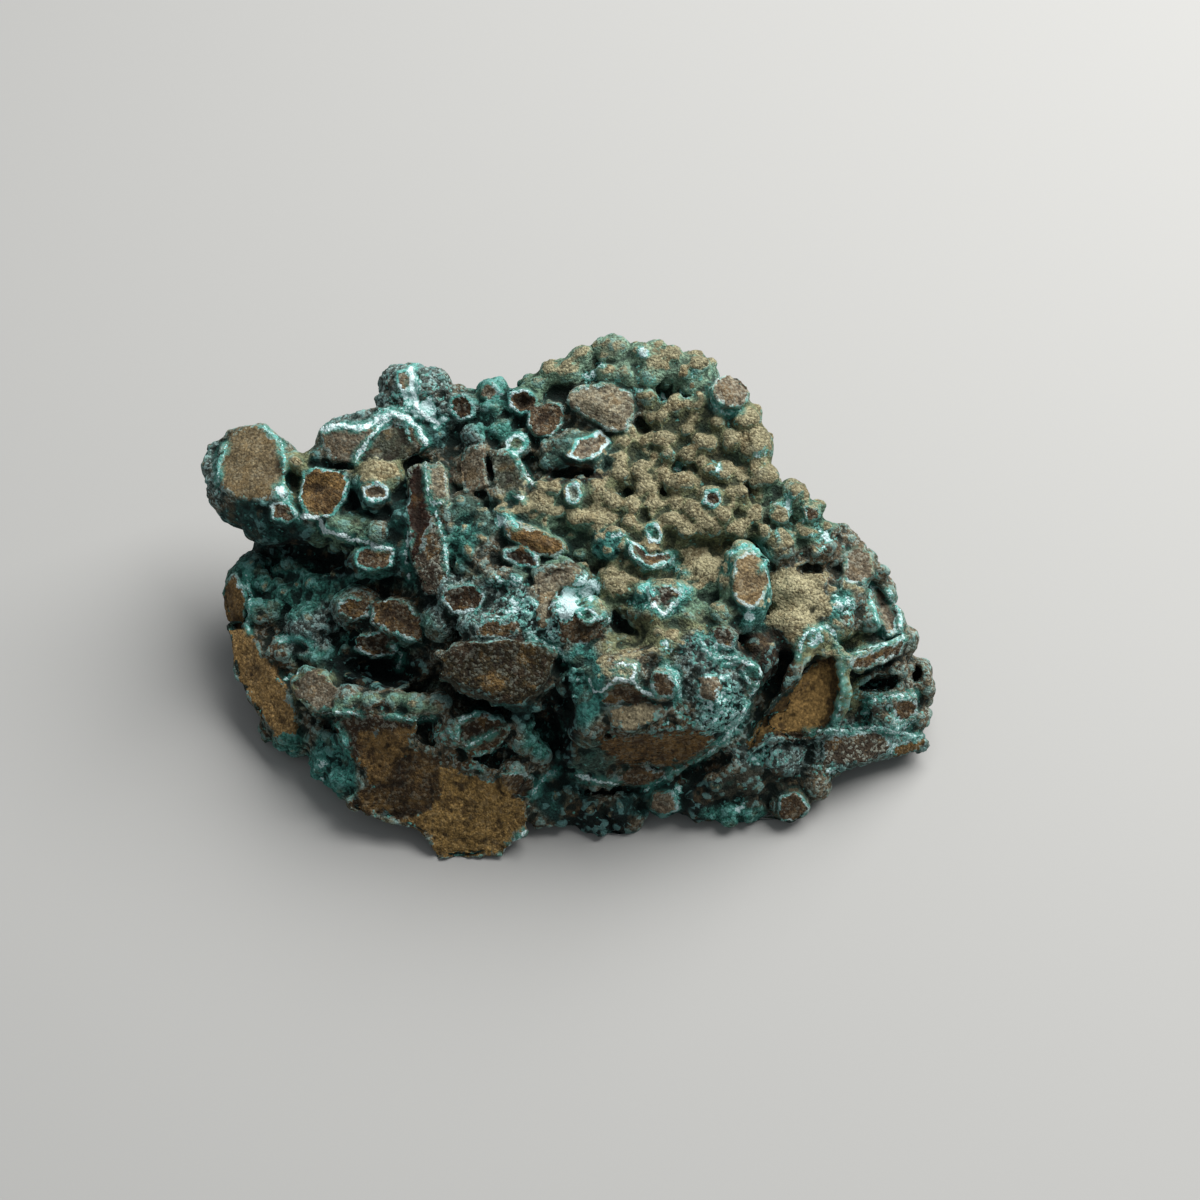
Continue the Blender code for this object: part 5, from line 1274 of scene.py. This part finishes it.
def makeCrust():
    # chrysocolla crust, matt and dusty, teal to olive, over brown broken copper ore: the eye gets
    # soft lumps with creases darkened by painted shade, and flat earthy faces with thin turquoise
    # rims
    material = bpy.data.materials.new("chrysocolla_crust_on_ore")
    material.use_nodes = True
    tree = material.node_tree
    tree.nodes.clear()

    def add(kind, output=0, **values):
        return addNode(tree, kind, output, **values)

    def perSize(name):  # a pattern's scale from its real size
        return 1.0 / (crustFinish[name] * mm)

    def paint(colour, coats):  # what decides each coat, where it is none and full, share, tint
        for what, none, full, share, tint in coats:
            cover = add("MapRange", interpolation_type="SMOOTHSTEP", Value=what, From_Min=none,
                        From_Max=full, To_Max=share)
            colour = add("Mix", 2, data_type="RGBA", i0=cover, i6=colour, i7=tint)
        return colour

    def vary(colour, rows):  # darker and lighter with each pattern
        for what, low, high, least, most in rows:
            factor = add("MapRange", Value=what, From_Min=low, From_Max=high, To_Min=least,
                         To_Max=most)
            colour = add("VectorMath", operation="SCALE", i0=colour, Scale=factor)
        return colour

    def gather(value, steps):  # (pattern, weight) adds it; (pattern, none, full) has to allow it
        for what, *numbers in steps:
            if len(numbers) == 1:
                value = add("Math", operation="MULTIPLY_ADD", i0=what, i1=numbers[0], i2=value)
            else:
                value = add("MapRange", interpolation_type="SMOOTHSTEP", Value=what,
                            From_Min=numbers[0], From_Max=numbers[1], To_Max=value)
        return value

    place = add("TexCoord", 3)
    patch = add("TexNoise", Vector=place, Scale=perSize("patchSize"), Detail=4.0)
    blotch = add("TexNoise", Vector=place, Scale=perSize("blotchSize"), Detail=4.0, Roughness=0.6)
    speck = add("TexNoise", Vector=place, Scale=perSize("speckSize"), Detail=3.0, Roughness=0.7)
    grain = add("TexVoronoi", Vector=place, Scale=perSize("grainSize"))
    lot = add("SeparateColor", 0, Color=grain.node.outputs["Color"])  # a lot for each grain
    crumb = add("TexVoronoi", Vector=place, Scale=perSize("crumbSize"))
    crumbLot = add("SeparateColor", 0, Color=crumb.node.outputs["Color"])
    bend = (crustFinish["crackBend"] * mm,) * 3
    bent = add("VectorMath", operation="MULTIPLY_ADD", i0=blotch.node.outputs["Color"], i1=bend,
               i2=place)
    crack = add("TexVoronoi", feature="DISTANCE_TO_EDGE", Vector=bent, Scale=perSize("crackSize"))
    along = add("Mapping", Vector=place, Rotation=crustFinish["streakTurn"],
                Scale=(1.0, 1.0, crustFinish["streakStretch"]))
    streak = add("TexNoise", Vector=along, Scale=perSize("streakSize"), Detail=3.0, Roughness=0.65)
    field = {name: add("Attribute", 2, attribute_name=name) for name in (
        "faceEdge", "rimStrength", "rindEdge", "rindWhite", "dustStain", "paleStain",
        "bulge", "hollow", "salt", "mottled", "facesUp")}
    skinTone = add("Attribute", 0, attribute_name="skinTone")
    oreTone = add("Attribute", 0, attribute_name="oreTone")
    creaseShade = add("MapRange", Value=field["dustStain"], To_Min=0.85, To_Max=0.51)
    hollowShade = add("MapRange", Value=field["dustStain"], To_Min=0.7, To_Max=0.42)
    mixedLot = gather(lot, [(blotch, 1.6)])

    # skin: patches of teal and brown, a speckle of grains, painted shade in the creases and
    # hollows, pale worn edges
    skin = paint(skinTone, [
        (patch, 0.55, 0.66, 0.4, "#2a5e54"),
        (patch, 0.46, 0.36, 0.45, "#5a4a33"),
    ])
    skin = vary(skin, [(speck, 0.34, 0.66, 0.55, 1.5), (lot, 0.0, 1.0, 0.6, 1.4)])
    worn = gather(0.3, [(field["bulge"], 0.05, 0.16)])
    skin = paint(skin, [
        (mixedLot, 1.46, 1.54, field["salt"], "#9dbcb9"),
        (mixedLot, 1.16, 1.08, field["salt"], "#1c211e"),
        # painted shade: creases darkened to near black, less under dust
        (field["bulge"], -0.03, -0.16, creaseShade, "#0e1e1a"),
        # painted shade: deep hollows darkened to near black, less under dust
        (field["hollow"], -0.15, -1.0, hollowShade, "#0c1a17"),
        (crumbLot, 0.45, 0.55, worn, "#86bfbb"),
    ])
    # pale crust, with fine breaks
    crust = gather(field["paleStain"], [(blotch, 2.4), (lot, 0.35)])
    crust = gather(crust, [(gather(1.0, [(crack, 0.09, 0.01)]), -0.35)])
    skin = paint(skin, [
        (crust, 1.725, 1.925, 0.85, "#57998e"),
        (crust, 1.995, 2.175, 0.9, "#c6dede"),
    ])
    # tan dust over what faces up
    settles = gather(field["dustStain"], [(field["facesUp"], 0.1, 0.95)])
    settles = gather(settles, [(patch, 0.7), (blotch, 0.8), (field["bulge"], 1.0),
                              (field["hollow"], 0.4), (field["paleStain"], -0.7)])
    dust = paint("#7a7358", [
        (field["dustStain"], 0.9, 1.3, 1.0, "#a69e7c"), (patch, 0.52, 0.62, 0.6, "#6f5e40"),
        (lot, 0.55, 0.75, 0.7, "#a39b7b"), (lot, 0.25, 0.15, 0.6, "#463d26"),
    ])
    dust = vary(dust, [(speck, 0.35, 0.65, 0.65, 1.35)])
    skin = paint(skin, [(settles, 1.23, 1.51, 0.95, dust)])
    # ore on the broken faces, with painted shade in its creases
    ore = vary(oreTone, [(speck, 0.34, 0.66, 0.58, 1.45), (streak, 0.36, 0.64, 0.6, 1.45),
                         (lot, 0.0, 1.0, 0.75, 1.25)])
    mottled = {share: gather(0.0, [(field["mottled"], share)]) for share in (0.5, 0.6, 0.7)}
    ore = paint(ore, [
        (patch, 0.52, 0.64, mottled[0.5], "#8a6c3e"),
        (patch, 0.47, 0.38, mottled[0.6], "#34261a"),
        (blotch, 0.43, 0.36, mottled[0.7], "#241a10"),
        (speck, 0.66, 0.72, mottled[0.5], "#a48c60"),
        (mixedLot, 1.50, 1.56, field["salt"], "#a8b0a2"),
        (crack, 0.03, 0.01, gather(mottled[0.6], [(patch, 0.5, 0.56)]), "#1c140c"),
        # painted shade in the ore's creases
        (field["bulge"], -0.04, -0.14, 0.7, "#1c140c"),
    ])
    # the ore's jagged edge, with a turquoise halo and a thin pale rim round it
    ragged = add("MapRange", Value=field["rimStrength"], From_Min=0.1, From_Max=0.8,
                 To_Min=3.4, To_Max=0.9)
    jagged = gather(-0.9, [(blotch, 1.0), (patch, 0.8)])
    edge = gather(field["faceEdge"], [(jagged, ragged), (lot, 0.2)])
    fromRim = add("Math", operation="ABSOLUTE", i0=gather(-0.26, [(edge, 1.0)]))
    halo = gather(gather(0.0, [(field["rimStrength"], 0.5)]),
                  [(edge, 1.2, 0.4), (edge, 0.0, 0.2), (blotch, 0.38, 0.52)])
    patchy = gather(field["rimStrength"], [(patch, 3.5)])
    rim = gather(field["rimStrength"], [(patchy, 2.0, 2.35)])
    paleness = gather(patch, [(lot, 0.25)])
    rimTint = paint("#549b91", [(paleness, 0.565, 0.725, 1.0, "#bdd4d4")])
    surface = paint(skin, [
        (edge, 0.16, 0.04, 1.0, ore),
        (patch, 0.62, 0.5, halo, "#3d7b6e"),
        (fromRim, 0.32, 0.14, rim, rimTint),
    ])
    # pale rinds
    rindEdge = gather(field["rindEdge"], [(blotch, 0.9), (lot, 0.2)])
    whiteness = gather(field["rindWhite"], [(speck, 2.4)])
    surface = paint(surface, [
        (rindEdge, 1.55, 0.75, gather(0.6, [(blotch, 0.38, 0.55)]), "#40897c"),
        (rindEdge, 0.67, 0.47, gather(1.0, [(patch, 0.3, 0.42)]),
         paint("#5ca59b", [(whiteness, 1.5, 2.0, 1.0, "#dceeee")])),
    ])

    height = gather(0.0, [(speck, 0.8), (grain, -0.55), (crumb, -0.4)])
    strength = add("MapRange", Value=field["mottled"], From_Max=0.8, To_Min=0.12, To_Max=1.0)
    bump = add("Bump", Strength=strength, Distance=crustFinish["bumpDepth"] * mm, Height=height)
    shader = add("BsdfPrincipled", Base_Color=surface, Normal=bump,
                 Roughness=crustFinish["roughness"], IOR=crustFinish["ior"])
    shader.node.inputs["Specular IOR Level"].default_value = crustFinish["specular"]
    add("OutputMaterial", output=None, Surface=shader)
    return material


rock.data.materials.clear()
rock.data.materials.append(makeCrust())
rock.data.shade_smooth()
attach(rock, "root")
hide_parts("chrysocolla_specimen")
print("crust laid on")

room = {  # metres, watts
    "floorTone": "#a09f9c",
    "floorSize": 3.0,
    "floorRoughness": 0.9,
    "windowPlace": (0.30, 0.26, 0.55),
    "windowSize": 0.65,
    "windowPower": 10.4,
    "airTone": (0.8, 0.85, 0.9, 1.0),
    "airStrength": 0.34,
    "sensor": 36.0,  # mm
    "nearest": 0.01,
}


def makeFloor():
    # pale matt plaster, so that only the soft shadow shows on it
    bpy.ops.mesh.primitive_plane_add(size=room["floorSize"], location=(0, 0, 0))
    floor = bpy.context.object
    floor.name = "floor"
    material = bpy.data.materials.new("pale_plaster")
    material.use_nodes = True
    shader = material.node_tree.nodes["Principled BSDF"]
    shader.inputs["Base Color"].default_value = (*toLinear(room["floorTone"]), 1.0)
    shader.inputs["Roughness"].default_value = room["floorRoughness"]
    floor.data.materials.append(material)


def makeLights():
    light = bpy.data.lights.new("window", "AREA")
    light.size = room["windowSize"]
    light.energy = room["windowPower"]
    lamp = bpy.data.objects.new("window", light)
    lamp.location = room["windowPlace"]
    lamp.rotation_euler = (-lamp.location).to_track_quat("-Z", "Y").to_euler()
    bpy.context.collection.objects.link(lamp)
    air = bpy.data.worlds.new("soft room")
    air.use_nodes = True
    background = air.node_tree.nodes["Background"]
    background.inputs["Color"].default_value = room["airTone"]
    background.inputs["Strength"].default_value = room["airStrength"]
    bpy.context.scene.world = air


def makeCamera():
    lens = bpy.data.cameras.new("camera")
    lens.sensor_width = room["sensor"]
    lens.lens = room["sensor"] * sight["distance"] / sight["width"]
    lens.clip_start = room["nearest"]
    camera = bpy.data.objects.new("camera", lens)
    camera.location = eye
    camera.rotation_euler = (-outward).to_track_quat("-Z", "Y").to_euler()
    bpy.context.collection.objects.link(camera)
    bpy.context.scene.camera = camera


makeFloor()
makeLights()
makeCamera()
bpy.context.scene.view_settings.view_transform = "Standard"
print("floor, light and camera in place")

bpy.context.view_layer.update()
